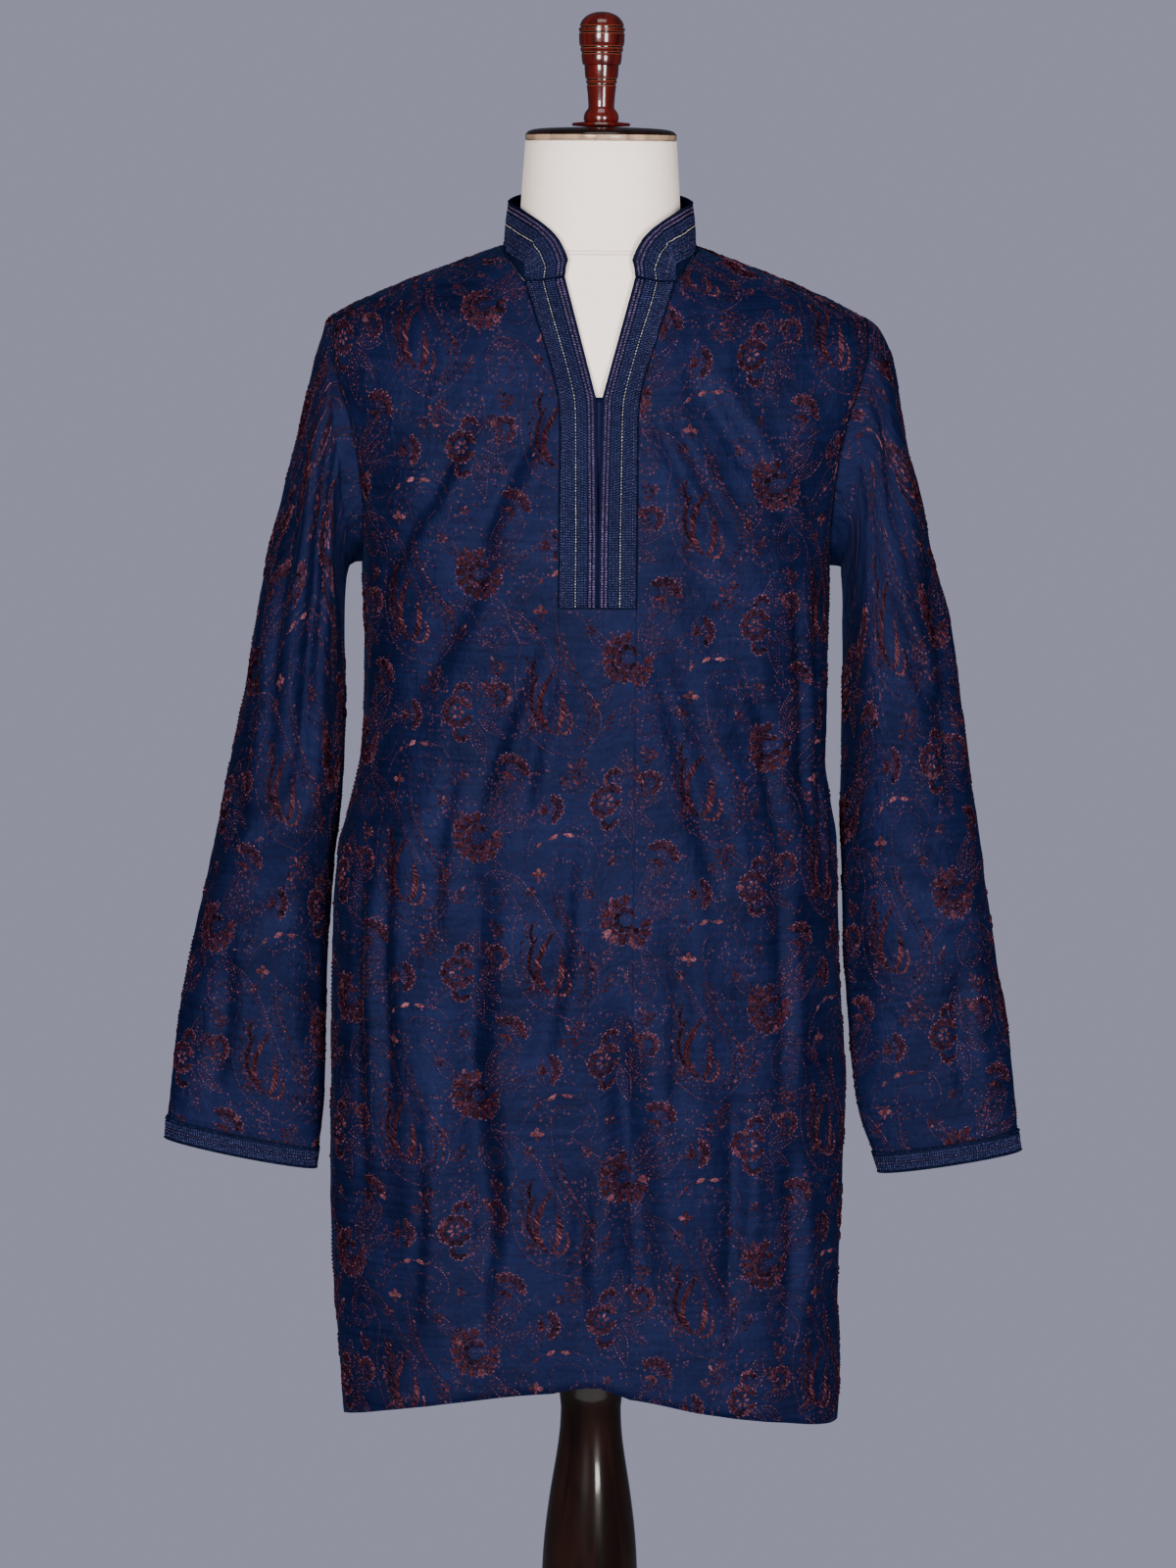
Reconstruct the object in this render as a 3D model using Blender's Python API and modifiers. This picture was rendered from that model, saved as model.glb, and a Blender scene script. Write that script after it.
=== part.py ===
"""A kurta worn by a limbless dress form on a turned stand. Metres, +Z up, front towards -Y.

The cloth of the body is a surface of level sections, given by an angle and a height: angle 0 is the
side (the side seam, then the armhole, then the shoulder seam) and 90 degrees is the centre. Each
panel is a grid of rows on that surface. Sleeves, collar, bands and cuffs start from its points.
"""

import math

import bpy
import numpy as np
from mathutils import Vector

GAP = 0.0003  # between pieces that touch
CLOTH = 0.0016  # wall of the body and the sleeves
COLLAR_WALL = 0.0022
BAND_WALL = 0.0014
SEAM_HALF_GAP = 0.0005  # front and back, each side of the side and shoulder seams

UNDERARM_Z = 1.200
TIP_Z = 1.400  # where the shoulder seam meets the sleeve
NECK_POINT = (0.076, 1.457)  # where the shoulder seam meets the collar: half-width, height
TIP_HALF = 0.215
SHOULDER_SLOPE = 0.354
SEAM_Y = 0.005  # the shoulder seam lies a little behind the middle

ARMHOLE_FRONT = 0.060  # depth of the armhole before the middle
ARMHOLE_BACK = 0.066

SLIT_TOP_Z = 1.4328
SLIT_V_Z = 1.338
SLIT_END_Z = 1.2307
BAND_END_Z = 1.173
SLIT_TOP_HALF = 0.0279
SLIT_V_HALF = 0.0023

# height, left half, right half, front depth, back depth, power (1 is an ellipse, less is squarer)
BODY = (
    (0.480, 0.2030, 0.2040, 0.104, 0.098, 0.90),
    (0.540, 0.2075, 0.2055, 0.108, 0.100, 0.90),
    (0.600, 0.2125, 0.2030, 0.112, 0.103, 0.89),
    (0.700, 0.2150, 0.2045, 0.116, 0.107, 0.88),
    (0.790, 0.2155, 0.2060, 0.118, 0.110, 0.87),
    (0.890, 0.2145, 0.1990, 0.119, 0.112, 0.86),
    (0.960, 0.2105, 0.1965, 0.119, 0.111, 0.85),
    (1.010, 0.1985, 0.1880, 0.119, 0.109, 0.84),
    (1.045, 0.1915, 0.1830, 0.119, 0.108, 0.83),
    (1.085, 0.1890, 0.1850, 0.120, 0.108, 0.82),
    (1.150, 0.1890, 0.1875, 0.122, 0.110, 0.80),
    (1.200, 0.1900, 0.1880, 0.123, 0.112, 0.79),
    (1.250, 0.1900, 0.1880, 0.123, 0.115, 0.80),
    (1.300, 0.1900, 0.1880, 0.119, 0.116, 0.84),
    (1.340, 0.1900, 0.1880, 0.112, 0.112, 0.90),
    (1.370, 0.1900, 0.1880, 0.103, 0.105, 0.96),
    (1.400, 0.1900, 0.1880, 0.092, 0.095, 1.04),
    (1.430, 0.1900, 0.1880, 0.080, 0.084, 1.12),
    (1.457, 0.1900, 0.1880, 0.070, 0.073, 1.02),
    (1.475, 0.1900, 0.1880, 0.067, 0.070, 1.00),
)

# height, half-width of the armhole seam seen from the front
ARMHOLE_WIDTH = (
    (1.200, 0.1900),
    (1.240, 0.1885),
    (1.280, 0.1915),
    (1.320, 0.2000),
    (1.350, 0.2095),
    (1.375, 0.2160),
    (1.400, 0.2150),
)

# x from the viewer's left to right, height of the front hem
FRONT_HEM = (
    (-0.205, 0.4950),
    (-0.180, 0.5035),
    (-0.134, 0.5185),
    (-0.061, 0.5370),
    (0.000, 0.5415),
    (0.061, 0.5325),
    (0.101, 0.5180),
    (0.146, 0.5055),
    (0.175, 0.4985),
    (0.205, 0.4930),
)
BACK_HEM_SIDE_Z = 0.4940
BACK_HEM_RISE = 0.0060  # the back hem's centre above its ends
HEM_FADE_Z = 0.900  # rows are level from here up

# distance from the middle and height of the front neckline, from the neck point to the slit's edge,
# a row for each column of the panel's grid
FRONT_NECK = (
    (0.0760, 1.4570),
    (0.0766, 1.4560),
    (0.0764, 1.4540),
    (0.0754, 1.4508),
    (0.0738, 1.4468),
    (0.0714, 1.4428),
    (0.0684, 1.4388),
    (0.0652, 1.4348),
    (0.0620, 1.4310),
    (0.0590, 1.4280),
    (0.0487, 1.4285),
    (0.0383, 1.4303),
    (0.0279, 1.4328),
)
BACK_NECK_RISE = 0.013

# plan angle from the side, positive towards the front, and height of the collar's top edge
COLLAR_TOP = (
    (-90, 1.5040),
    (-60, 1.5020),
    (-37, 1.4985),
    (0, 1.4920),
    (24, 1.4880),
    (36, 1.4835),
    (51, 1.4750),
    (62, 1.4645),
    (67, 1.4550),
    (71, 1.4430),
)
COLLAR_TOP_HALF = 0.0738
COLLAR_TOP_FRONT = 0.0765
COLLAR_TOP_BACK = 0.0690

# height, distance from the middle of each placket band's outer edge
BAND_OUTER = (
    (1.1730, 0.0312),
    (1.3184, 0.0312),
    (1.4280, 0.0590),
)
STRIP_HALF = 0.012
STRIP_TOP_Z = 1.3395

# panel, run and height at the fold's start, the same at its end, width, height (below 0 is a trough).
# The run is the distance over the cloth from the centre, positive towards the viewer's right.
FOLDS = (
    ("front", -0.065, 1.290, -0.105, 1.190, 0.026, -0.0040),
    ("front", -0.105, 1.170, -0.165, 1.060, 0.030, -0.0045),
    ("front", -0.070, 1.090, -0.112, 0.960, 0.028, -0.0050),
    ("front", -0.095, 0.960, -0.085, 0.640, 0.032, -0.0065),
    ("front", -0.150, 0.900, -0.140, 0.560, 0.030, 0.0050),
    ("front", 0.060, 1.230, 0.110, 1.100, 0.026, -0.0040),
    ("front", 0.050, 1.140, 0.100, 0.950, 0.030, -0.0050),
    ("front", 0.015, 0.840, 0.045, 0.600, 0.034, -0.0070),
    ("front", 0.115, 0.800, 0.118, 0.570, 0.028, -0.0045),
    ("front", 0.150, 1.120, 0.180, 0.920, 0.026, -0.0045),
    ("back", -0.060, 1.260, -0.120, 1.080, 0.034, -0.0045),
    ("back", 0.070, 1.250, 0.115, 1.100, 0.032, -0.0040),
    ("back", -0.020, 1.050, -0.035, 0.700, 0.040, -0.0060),
    ("back", 0.080, 1.000, 0.070, 0.640, 0.036, -0.0065),
    ("back", -0.130, 0.960, -0.115, 0.600, 0.032, 0.0050),
    ("back", 0.150, 0.900, 0.155, 0.580, 0.030, 0.0045),
)
FOLD_TAPER = 0.30  # share of a fold's length over which each end fades

# outer x and z, inner x and z, half-depth, middle y, of the left sleeve below its seam
SLEEVE_LEFT = (
    (0.2200, 1.3955, 0.1960, 1.1995, 0.065, 0.006),
    (0.2237, 1.383, 0.1985, 1.1985, 0.064, 0.004),
    (0.2308, 1.360, 0.2020, 1.1955, 0.066, 0.005),
    (0.2383, 1.327, 0.2045, 1.1860, 0.068, 0.006),
    (0.2458, 1.293, 0.2055, 1.1690, 0.069, 0.007),
    (0.2560, 1.250, 0.2058, 1.1400, 0.069, 0.009),
    (0.2665, 1.210, 0.2055, 1.1060, 0.068, 0.010),
    (0.2790, 1.150, 0.2060, 1.0580, 0.064, 0.012),
    (0.2888, 1.087, 0.2080, 1.0050, 0.058, 0.013),
    (0.3033, 1.016, 0.2150, 0.9450, 0.050, 0.014),
    (0.3157, 0.953, 0.2190, 0.8880, 0.043, 0.014),
    (0.3283, 0.888, 0.2205, 0.8300, 0.036, 0.013),
    (0.3380, 0.841, 0.2210, 0.7880, 0.031, 0.012),
    (0.3455, 0.790, 0.2225, 0.7480, 0.026, 0.010),
    (0.3508, 0.741, 0.2265, 0.7155, 0.021, 0.008),
    (0.3520, 0.722, 0.2290, 0.6980, 0.019, 0.007),
)
SLEEVE_RIGHT = (
    (0.2210, 1.3965, 0.1955, 1.1990, 0.065, 0.006),
    (0.2275, 1.388, 0.1985, 1.1970, 0.064, 0.004),
    (0.2375, 1.365, 0.1990, 1.1900, 0.066, 0.004),
    (0.2435, 1.330, 0.1995, 1.1780, 0.068, 0.004),
    (0.2510, 1.293, 0.2000, 1.1600, 0.069, 0.005),
    (0.2625, 1.250, 0.2002, 1.1330, 0.069, 0.005),
    (0.2730, 1.203, 0.2002, 1.1000, 0.068, 0.006),
    (0.2868, 1.150, 0.2004, 1.0550, 0.064, 0.006),
    (0.2965, 1.090, 0.2008, 1.0050, 0.058, 0.006),
    (0.3085, 1.020, 0.2020, 0.9450, 0.050, 0.006),
    (0.3190, 0.955, 0.2040, 0.8880, 0.043, 0.005),
    (0.3275, 0.892, 0.2085, 0.8300, 0.036, 0.004),
    (0.3375, 0.838, 0.2125, 0.7880, 0.031, 0.004),
    (0.3440, 0.788, 0.2190, 0.7480, 0.026, 0.003),
    (0.3495, 0.736, 0.2305, 0.7165, 0.021, 0.003),
    (0.3520, 0.718, 0.2365, 0.6990, 0.019, 0.003),
)
SLEEVE_SEAM_OUT = 0.0014  # the sleeve starts this far outside the armhole
# angle round the sleeve from its outer line, towards the front, start and end row, width, height
SLEEVE_FOLDS = (
    (55, 2, 9, 24, 0.0050),
    (100, 3, 8, 20, -0.0045),
    (150, 6, 13, 22, -0.0040),
    (-70, 3, 10, 24, 0.0045),
    (-120, 5, 11, 22, -0.0045),
    (20, 8, 14, 20, -0.0030),
)
CUFF_ROWS = 1  # the cuff band covers the sleeve's last row of the grid

# height, half-width, front depth, back depth of the torso
TORSO = (
    (0.640, 0.120, 0.070, 0.070),
    (0.646, 0.148, 0.085, 0.085),
    (0.665, 0.163, 0.093, 0.093),
    (0.740, 0.176, 0.099, 0.100),
    (0.850, 0.180, 0.100, 0.102),
    (0.950, 0.168, 0.099, 0.097),
    (1.050, 0.157, 0.101, 0.092),
    (1.150, 0.165, 0.109, 0.099),
    (1.230, 0.175, 0.113, 0.105),
    (1.290, 0.185, 0.110, 0.107),
    (1.340, 0.193, 0.105, 0.105),
    (1.370, 0.198, 0.0985, 0.100),
)
# the neck, above the shoulders: height, half-width, front depth, back depth
NECK = (
    (1.4555, 0.0715, 0.0665, 0.0690),
    (1.4640, 0.0672, 0.0640, 0.0655),
    (1.4780, 0.0650, 0.0630, 0.0640),
    (1.5000, 0.0636, 0.0625, 0.0625),
    (1.5400, 0.0610, 0.0605, 0.0605),
)
CLOTH_LIFT = 0.0026  # the form's shoulders lie this far below the cloth's outside
SHOULDER_ROUND_X = 0.150  # the form's shoulder starts to round down here
SHOULDER_ROUND_DROP = 0.013
FORM_SHOULDER_HALF = 0.198

# radius, height, top to bottom
FINIAL = (
    (0.0000, 1.6430),
    (0.0080, 1.6420),
    (0.0138, 1.6388),
    (0.0172, 1.6345),
    (0.0185, 1.6300),
    (0.0183, 1.6250),
    (0.0172, 1.6130),
    (0.0162, 1.6065),
    (0.0156, 1.6010),
    (0.0138, 1.6000),
    (0.0134, 1.5940),
    (0.0122, 1.5830),
    (0.0108, 1.5730),
    (0.0104, 1.5665),
    (0.0122, 1.5640),
    (0.0138, 1.5605),
    (0.0141, 1.5573),
    (0.0132, 1.5552),
    (0.0228, 1.5546),
    (0.0236, 1.5533),
    (0.0230, 1.5521),
    (0.0130, 1.5514),
    (0.0000, 1.5514),
)
NECK_CAP = (
    (0.0000, 1.5511),
    (0.0300, 1.5509),
    (0.0480, 1.5500),
    (0.0570, 1.5485),
    (0.0600, 1.5465),
    (0.0610, 1.5440),
    (0.0606, 1.5412),
    (0.0590, 1.5403),
    (0.0000, 1.5403),
)
COLUMN = (
    (0.0000, 0.6397),
    (0.0560, 0.6397),
    (0.0580, 0.6300),
    (0.0500, 0.6120),
    (0.0390, 0.5900),
    (0.0320, 0.5600),
    (0.0280, 0.5300),
    (0.0262, 0.5130),
    (0.0248, 0.5000),
    (0.0255, 0.4820),
    (0.0285, 0.4580),
    (0.0322, 0.4350),
    (0.0350, 0.4150),
    (0.0378, 0.3900),
    (0.0395, 0.3620),
    (0.0400, 0.3300),
    (0.0380, 0.2850),
    (0.0330, 0.2300),
    (0.0275, 0.1750),
    (0.0240, 0.1300),
    (0.0235, 0.1080),
    (0.0300, 0.0980),
    (0.0350, 0.0880),
    (0.0350, 0.0780),
    (0.0300, 0.0690),
    (0.0300, 0.0553),
    (0.0000, 0.0553),
)
BASE = (
    (0.0000, 0.0550),
    (0.0420, 0.0550),
    (0.0460, 0.0530),
    (0.0600, 0.0440),
    (0.1000, 0.0360),
    (0.1500, 0.0290),
    (0.1800, 0.0250),
    (0.1900, 0.0210),
    (0.1950, 0.0140),
    (0.1950, 0.0040),
    (0.1920, 0.0000),
    (0.0000, 0.0000),
)

BODY_COLUMNS = 9  # on each half of a panel, from its edge to the placket band
BAND_COLUMNS = 3
PANEL_COLUMNS = BODY_COLUMNS + BAND_COLUMNS
# heights of the rows below the armhole; the last but one is the placket's lower end
SKIRT_LEVELS = (0.494, 0.548, 0.602, 0.656, 0.710, 0.764, 0.818, 0.872, 0.926, 0.980, 1.034, 1.082)
SKIRT_LEVELS += (1.128, BAND_END_Z, UNDERARM_Z)
SKIRT_ROWS = len(SKIRT_LEVELS) - 1
ARMHOLE_ROWS = 9
SLIT_END_ROW = SKIRT_ROWS + 2
SHOULDER_ROWS = 5
TOP_ROW = SKIRT_ROWS + ARMHOLE_ROWS + SHOULDER_ROWS
SLEEVE_COLUMNS = 2 * ARMHOLE_ROWS
TORSO_COLUMNS = 32
TURNED_STEPS = 24


def smooth(table, at, column):
    """A column of the table at a height, on a smooth curve through its rows."""
    keys = [row[0] for row in table]
    values = [row[column] for row in table]
    if at <= keys[0]:
        return values[0]
    if at >= keys[-1]:
        return values[-1]
    i = max(k for k in range(len(keys) - 1) if keys[k] <= at)
    steps = [(values[k + 1] - values[k]) / (keys[k + 1] - keys[k]) for k in range(len(keys) - 1)]

    def slope(k):
        if k == 0:
            return steps[0]
        if k == len(steps):
            return steps[-1]
        before, after = steps[k - 1], steps[k]
        return 0.0 if before * after <= 0 else 2 * before * after / (before + after)

    width = keys[i + 1] - keys[i]
    t = (at - keys[i]) / width
    rise = values[i + 1] - values[i]
    start, end = slope(i) * width, slope(i + 1) * width
    return values[i] + t * start + t * t * (3 * rise - 2 * start - end) + t**3 * (start + end - 2 * rise)


def mix(a, b, t):
    return a + (b - a) * t


def shoulder_z(half):
    """Height of the shoulder seam at a distance from the middle."""
    run = (half - NECK_POINT[0]) / (TIP_HALF - NECK_POINT[0])
    tip_drop = NECK_POINT[1] - SHOULDER_SLOPE * (TIP_HALF - NECK_POINT[0]) - TIP_Z
    return NECK_POINT[1] - SHOULDER_SLOPE * (half - NECK_POINT[0]) - tip_drop * max(run, 0) ** 4


SHOULDER_HALVES = np.linspace(NECK_POINT[0], TIP_HALF, 80)
SHOULDER_HEIGHTS = np.array([shoulder_z(half) for half in SHOULDER_HALVES])


def shoulder_half(z):
    return float(np.interp(z, SHOULDER_HEIGHTS[::-1], SHOULDER_HALVES[::-1]))


def middle_y(z):
    return SEAM_Y * min(max((z - UNDERARM_Z) / (TIP_Z - UNDERARM_Z), 0), 1)


def edge_angle(z, back):
    """The angle at which a panel starts: 0 on the side and shoulder seams, more on the armhole."""
    if not UNDERARM_Z < z < TIP_Z:
        return 0.0
    middle, reach = (TIP_Z + UNDERARM_Z) / 2, (TIP_Z - UNDERARM_Z) / 2
    turn = math.acos((z - middle) / reach)
    depth = (ARMHOLE_BACK if back else ARMHOLE_FRONT) * math.sin(turn)
    share = depth / smooth(BODY, z, 4 if back else 3)
    return math.asin(share ** (1 / smooth(BODY, z, 5)))


def half_width(z, side, back):
    """The section's half-width; beside an armhole it is that of the whole section it is cut from."""
    if z >= NECK_POINT[1]:
        return NECK_POINT[0] - 0.2 * (z - NECK_POINT[1])
    if z >= TIP_Z:
        return shoulder_half(z)
    if z > UNDERARM_Z:
        turn = math.cos(edge_angle(z, back)) ** smooth(BODY, z, 5)
        own = smooth(ARMHOLE_WIDTH, z, 1) / turn
        low = smooth(BODY, z, 1 if side < 0 else 2) - BODY[11][1]
        return own + low * max(0.0, 1 - (z - UNDERARM_Z) / 0.05)
    return smooth(BODY, z, 1 if side < 0 else 2)


def section_point(angle, z, side, back):
    power = smooth(BODY, z, 5)
    x = half_width(z, side, back) * max(math.cos(angle), 0.0) ** power
    depth = smooth(BODY, z, 4 if back else 3) * max(math.sin(angle), 0.0) ** power
    return Vector((side * x, middle_y(z) + (depth if back else -depth), z))


def section_normal(angle, z, side, back):
    small = 0.01
    low, high = max(angle - small, 0.0), min(angle + small, math.pi / 2)
    along = section_point(high, z, side, back) - section_point(low, z, side, back)
    up = section_point(angle, z + 0.002, side, back) - section_point(angle, z - 0.002, side, back)
    normal = along.cross(up).normalized()
    outward = Vector((side * math.cos(angle), (1 if back else -1) * math.sin(angle), 0.2))
    return normal if normal.dot(outward) > 0 else -normal


def fold_height(panel, run, z):
    """How far the folds of a panel lift its cloth at a place."""
    total = 0.0
    for name, run0, z0, run1, z1, width, height in FOLDS:
        if name != panel:
            continue
        dx, dz = run1 - run0, z1 - z0
        length = math.hypot(dx, dz)
        along = ((run - run0) * dx + (z - z0) * dz) / length**2
        across = ((run - run0) * dz - (z - z0) * dx) / length
        ends = min(max((along + 0.1) / FOLD_TAPER, 0), 1) * min(max((1.1 - along) / FOLD_TAPER, 0), 1)
        ends = ends * ends * (3 - 2 * ends)
        total += height * ends * math.exp(-((across / width) ** 2) * 2)
    return total


def slit_half(z):
    """Half the open width between the placket bands."""
    if z <= SLIT_END_Z:
        return GAP / 2
    if z <= SLIT_V_Z:
        return mix(GAP, SLIT_V_HALF, (z - SLIT_END_Z) / (SLIT_V_Z - SLIT_END_Z))
    return mix(SLIT_V_HALF, SLIT_TOP_HALF, (z - SLIT_V_Z) / (SLIT_TOP_Z - SLIT_V_Z))


def angle_at(x, z, side, back):
    """The angle whose point lies at a distance x from the middle."""
    share = min(x / half_width(z, side, back), 1.0)
    return math.acos(share ** (1 / smooth(BODY, z, 5)))


def hem_z(x, back):
    if back:
        return BACK_HEM_SIDE_Z + BACK_HEM_RISE * (1 - (x / 0.205) ** 2)
    return smooth(FRONT_HEM, x, 1)


def row_height(row, column, side, back):
    """Height of a grid point; column 0 is the panel's edge and the last is the slit or the centre."""
    place = column / PANEL_COLUMNS
    if row <= SKIRT_ROWS:
        x = side * (1 - place**1.3) * 0.204
        level = SKIRT_LEVELS[row]
        fade = max(0.0, 1 - (level - BACK_HEM_SIDE_Z) / (HEM_FADE_Z - BACK_HEM_SIDE_Z))
        return level + (hem_z(x, back) - BACK_HEM_SIDE_Z) * fade**1.5
    tip_row = mix(TIP_Z, SLIT_V_Z, place)
    if row <= SKIRT_ROWS + ARMHOLE_ROWS:
        step = (row - SKIRT_ROWS) / ARMHOLE_ROWS
        seam = (1 - math.cos(math.pi * step)) / 2
        return mix(UNDERARM_Z, tip_row, mix(seam, step, place**0.5))
    neck = NECK_POINT[1] + BACK_NECK_RISE * math.sin(place * math.pi / 2) if back else FRONT_NECK[column][1]
    return mix(tip_row, neck, (row - SKIRT_ROWS - ARMHOLE_ROWS) / SHOULDER_ROWS)


def panel_place(row, column, side, back):
    """Angle and height on the body of a point of the panel's grid."""
    z = row_height(row, column, side, back)
    start = edge_angle(z, back)
    if back:
        return mix(start, math.pi / 2, column / PANEL_COLUMNS), z
    band = smooth(BAND_OUTER, z, 1)
    if column >= BODY_COLUMNS:
        share = (column - BODY_COLUMNS) / BAND_COLUMNS
        return angle_at(mix(band, slit_half(z), share), z, side, False), z
    level = mix(start, angle_at(band, z, side, False), column / BODY_COLUMNS)
    above = (row - SKIRT_ROWS - ARMHOLE_ROWS) / SHOULDER_ROWS
    if above <= 0:
        return level, z
    x, neck = FRONT_NECK[column]
    return mix(level, angle_at(x, neck, side, False), above**2), z


def lifted(angle, z, side, back, out=0.0):
    """The point on the cloth's outside, with its folds, moved out by a distance."""
    run = side * (math.pi / 2 - angle) * half_width(z, side, back) * 1.05
    lift = fold_height("back" if back else "front", run, z)
    return section_point(angle, z, side, back) + section_normal(angle, z, side, back) * (lift + out)


def panel_point(row, column, side, back, out=0.0):
    shift = SEAM_HALF_GAP if back else -SEAM_HALF_GAP
    angle, z = panel_place(row, column, side, back)
    if row == TOP_ROW:
        z -= GAP
    return lifted(angle, z, side, back, out) + Vector((0, shift, 0))


def panel_rows(back):
    """Rows of points from the left edge to the middle, then from the middle to the right edge."""
    columns = range(PANEL_COLUMNS + 1)
    rows = []
    for row in range(TOP_ROW + 1):
        left = [panel_point(row, column, -1, back) for column in columns]
        right = [panel_point(row, column, 1, back) for column in columns]
        if back or row <= SLIT_END_ROW:
            left[-1] = right[-1] = (left[-1] + right[-1]) / 2
        rows.append(left + right[::-1])
    return rows


def new_mesh_object(name, points, faces, material):
    mesh = bpy.data.meshes.new(name)
    mesh.from_pydata([tuple(point) for point in points], [], faces)
    mesh.materials.append(material)
    mesh.shade_smooth()
    mesh.set_sharp_from_angle(angle=math.radians(50))
    obj = bpy.data.objects.new(name, mesh)
    KURTA.objects.link(obj)
    return obj


def grid(name, rows, material, closed=False, flip=False, slit=None):
    """An open surface through rows of points, each row as long as the others.

    Points that lie on each other become one. Above the row slit[0], the surface is open between
    the column slit[1] and the next.
    """
    points, index = [], []
    for row in rows:
        line = []
        for point in row:
            if not line or (points[-1] - point).length > 1e-6:
                points.append(point)
            line.append(len(points) - 1)
        index.append(line)
    faces = []
    count = len(rows[0])
    for number, (low, high) in enumerate(zip(index, index[1:])):
        for i in range(count if closed else count - 1):
            if slit and number >= slit[0] and i == slit[1]:
                continue
            j = (i + 1) % count
            face = []
            for corner in (low[i], low[j], high[j], high[i]):
                if corner not in face:
                    face.append(corner)
            if len(face) > 2:
                faces.append(face[::-1] if flip else face)
    return new_mesh_object(name, points, faces, material)


def thicken(obj, thickness, outward=False):
    solidify = obj.modifiers.new("wall", "SOLIDIFY")
    solidify.thickness = thickness
    solidify.offset = 1.0 if outward else -1.0
    solidify.use_even_offset = False
    return obj


def turned(name, profile, material):
    """A solid of revolution about the Z axis from radii and heights, top to bottom."""
    mesh = bpy.data.meshes.new(name)
    points = [(radius, 0.0, z) for radius, z in profile]
    mesh.from_pydata(points, [(i, i + 1) for i in range(len(points) - 1)], [])
    mesh.materials.append(material)
    obj = bpy.data.objects.new(name, mesh)
    KURTA.objects.link(obj)
    screw = obj.modifiers.new("turn", "SCREW")
    screw.steps = screw.render_steps = TURNED_STEPS
    screw.use_merge_vertices = True
    screw.merge_threshold = 0.00005
    screw.use_smooth_shade = True
    return obj


def material(name, colour, roughness, metallic=0.0):
    made = bpy.data.materials.new(name)
    made.use_nodes = True
    shader = made.node_tree.nodes["Principled BSDF"]
    shader.inputs["Base Color"].default_value = (*colour, 1.0)
    shader.inputs["Roughness"].default_value = roughness
    shader.inputs["Metallic"].default_value = metallic
    return made


def make_front_and_back(cloth):
    slit = (SLIT_END_ROW, PANEL_COLUMNS)
    thicken(grid("kurta_front", panel_rows(False), cloth, slit=slit), CLOTH)
    thicken(grid("kurta_back", panel_rows(True), cloth, flip=True), CLOTH)


def armhole_ring(side):
    """The panels' points round the armhole, from the shoulder tip down the front and up the back."""
    down = range(SKIRT_ROWS + ARMHOLE_ROWS, SKIRT_ROWS, -1)
    up = range(SKIRT_ROWS, SKIRT_ROWS + ARMHOLE_ROWS)
    ring = [panel_point(row, 0, side, False) for row in down]
    ring += [panel_point(row, 0, side, True) for row in up]
    for i in (0, ARMHOLE_ROWS):
        ring[i].y = middle_y(ring[i].z)
    return ring


def sleeve_rows(side, table):
    """Rings down the sleeve; the first follows the armhole just outside it."""
    first = armhole_ring(side)
    middle = sum(first, Vector()) / len(first)
    out = [Vector((side, 0, 0)) + (point - middle).normalized() * 0.4 for point in first]
    rows = [[point + step * SLEEVE_SEAM_OUT for point, step in zip(first, out)]]
    for number, (outer_x, outer_z, inner_x, inner_z, depth, y) in enumerate(table, start=1):
        centre = Vector((side * (outer_x + inner_x) / 2, y, (outer_z + inner_z) / 2))
        half = Vector((side * (outer_x - inner_x) / 2, 0, (outer_z - inner_z) / 2))
        row = []
        for i in range(SLEEVE_COLUMNS):
            turn = 2 * math.pi * i / SLEEVE_COLUMNS
            across, deep = math.cos(turn), -math.sin(turn)
            lift = sleeve_fold(math.degrees(turn), number)
            out = half.normalized() * across + Vector((0, deep, 0))
            row.append(centre + half * across + Vector((0, deep * depth, 0)) + out * lift)
        rows.append(row)
    return rows


def sleeve_fold(turn, row):
    total = 0.0
    for place, start, end, width, height in SLEEVE_FOLDS:
        off = (turn - place + 180) % 360 - 180
        ends = math.sin(math.pi * min(max((row - start + 1) / (end - start + 2), 0), 1))
        total += height * ends * math.exp(-2 * (off / width) ** 2)
    return total


def moved_out(rows, distance):
    """The rings of a tube, each point moved away from its ring's middle."""
    result = []
    for row in rows:
        centre = sum(row, Vector()) / len(row)
        count = len(row)
        line = []
        for i, point in enumerate(row):
            tangent = row[(i + 1) % count] - row[i - 1]
            axis = (row[(i + 3) % count] - centre).cross(point - centre)
            normal = tangent.cross(axis).normalized()
            if normal.dot(point - centre) < 0:
                normal = -normal
            line.append(point + normal * distance)
        result.append(line)
    return result


def make_sleeves(cloth, trim):
    for side, name, table in ((-1, "left", SLEEVE_LEFT), (1, "right", SLEEVE_RIGHT)):
        rows = sleeve_rows(side, table)
        flip = side < 0
        thicken(grid("sleeve_" + name, rows, cloth, closed=True, flip=flip), CLOTH)
        cuff = moved_out(rows[-1 - CUFF_ROWS :], GAP)
        thicken(grid("cuff_" + name, cuff, trim, closed=True, flip=flip), BAND_WALL, outward=True)


def collar_foot():
    """Points along the neckline, from the left end of the collar round the back to its right end."""
    columns = range(PANEL_COLUMNS + 1)
    foot = [panel_point(TOP_ROW, column, -1, False) for column in columns[::-1]]
    foot += [panel_point(TOP_ROW, column, -1, True) for column in columns[1::2]]
    foot += [panel_point(TOP_ROW, column, 1, True) for column in columns[-1:0:-2]]
    foot += [panel_point(TOP_ROW, column, 1, False) for column in columns]
    return foot


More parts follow.
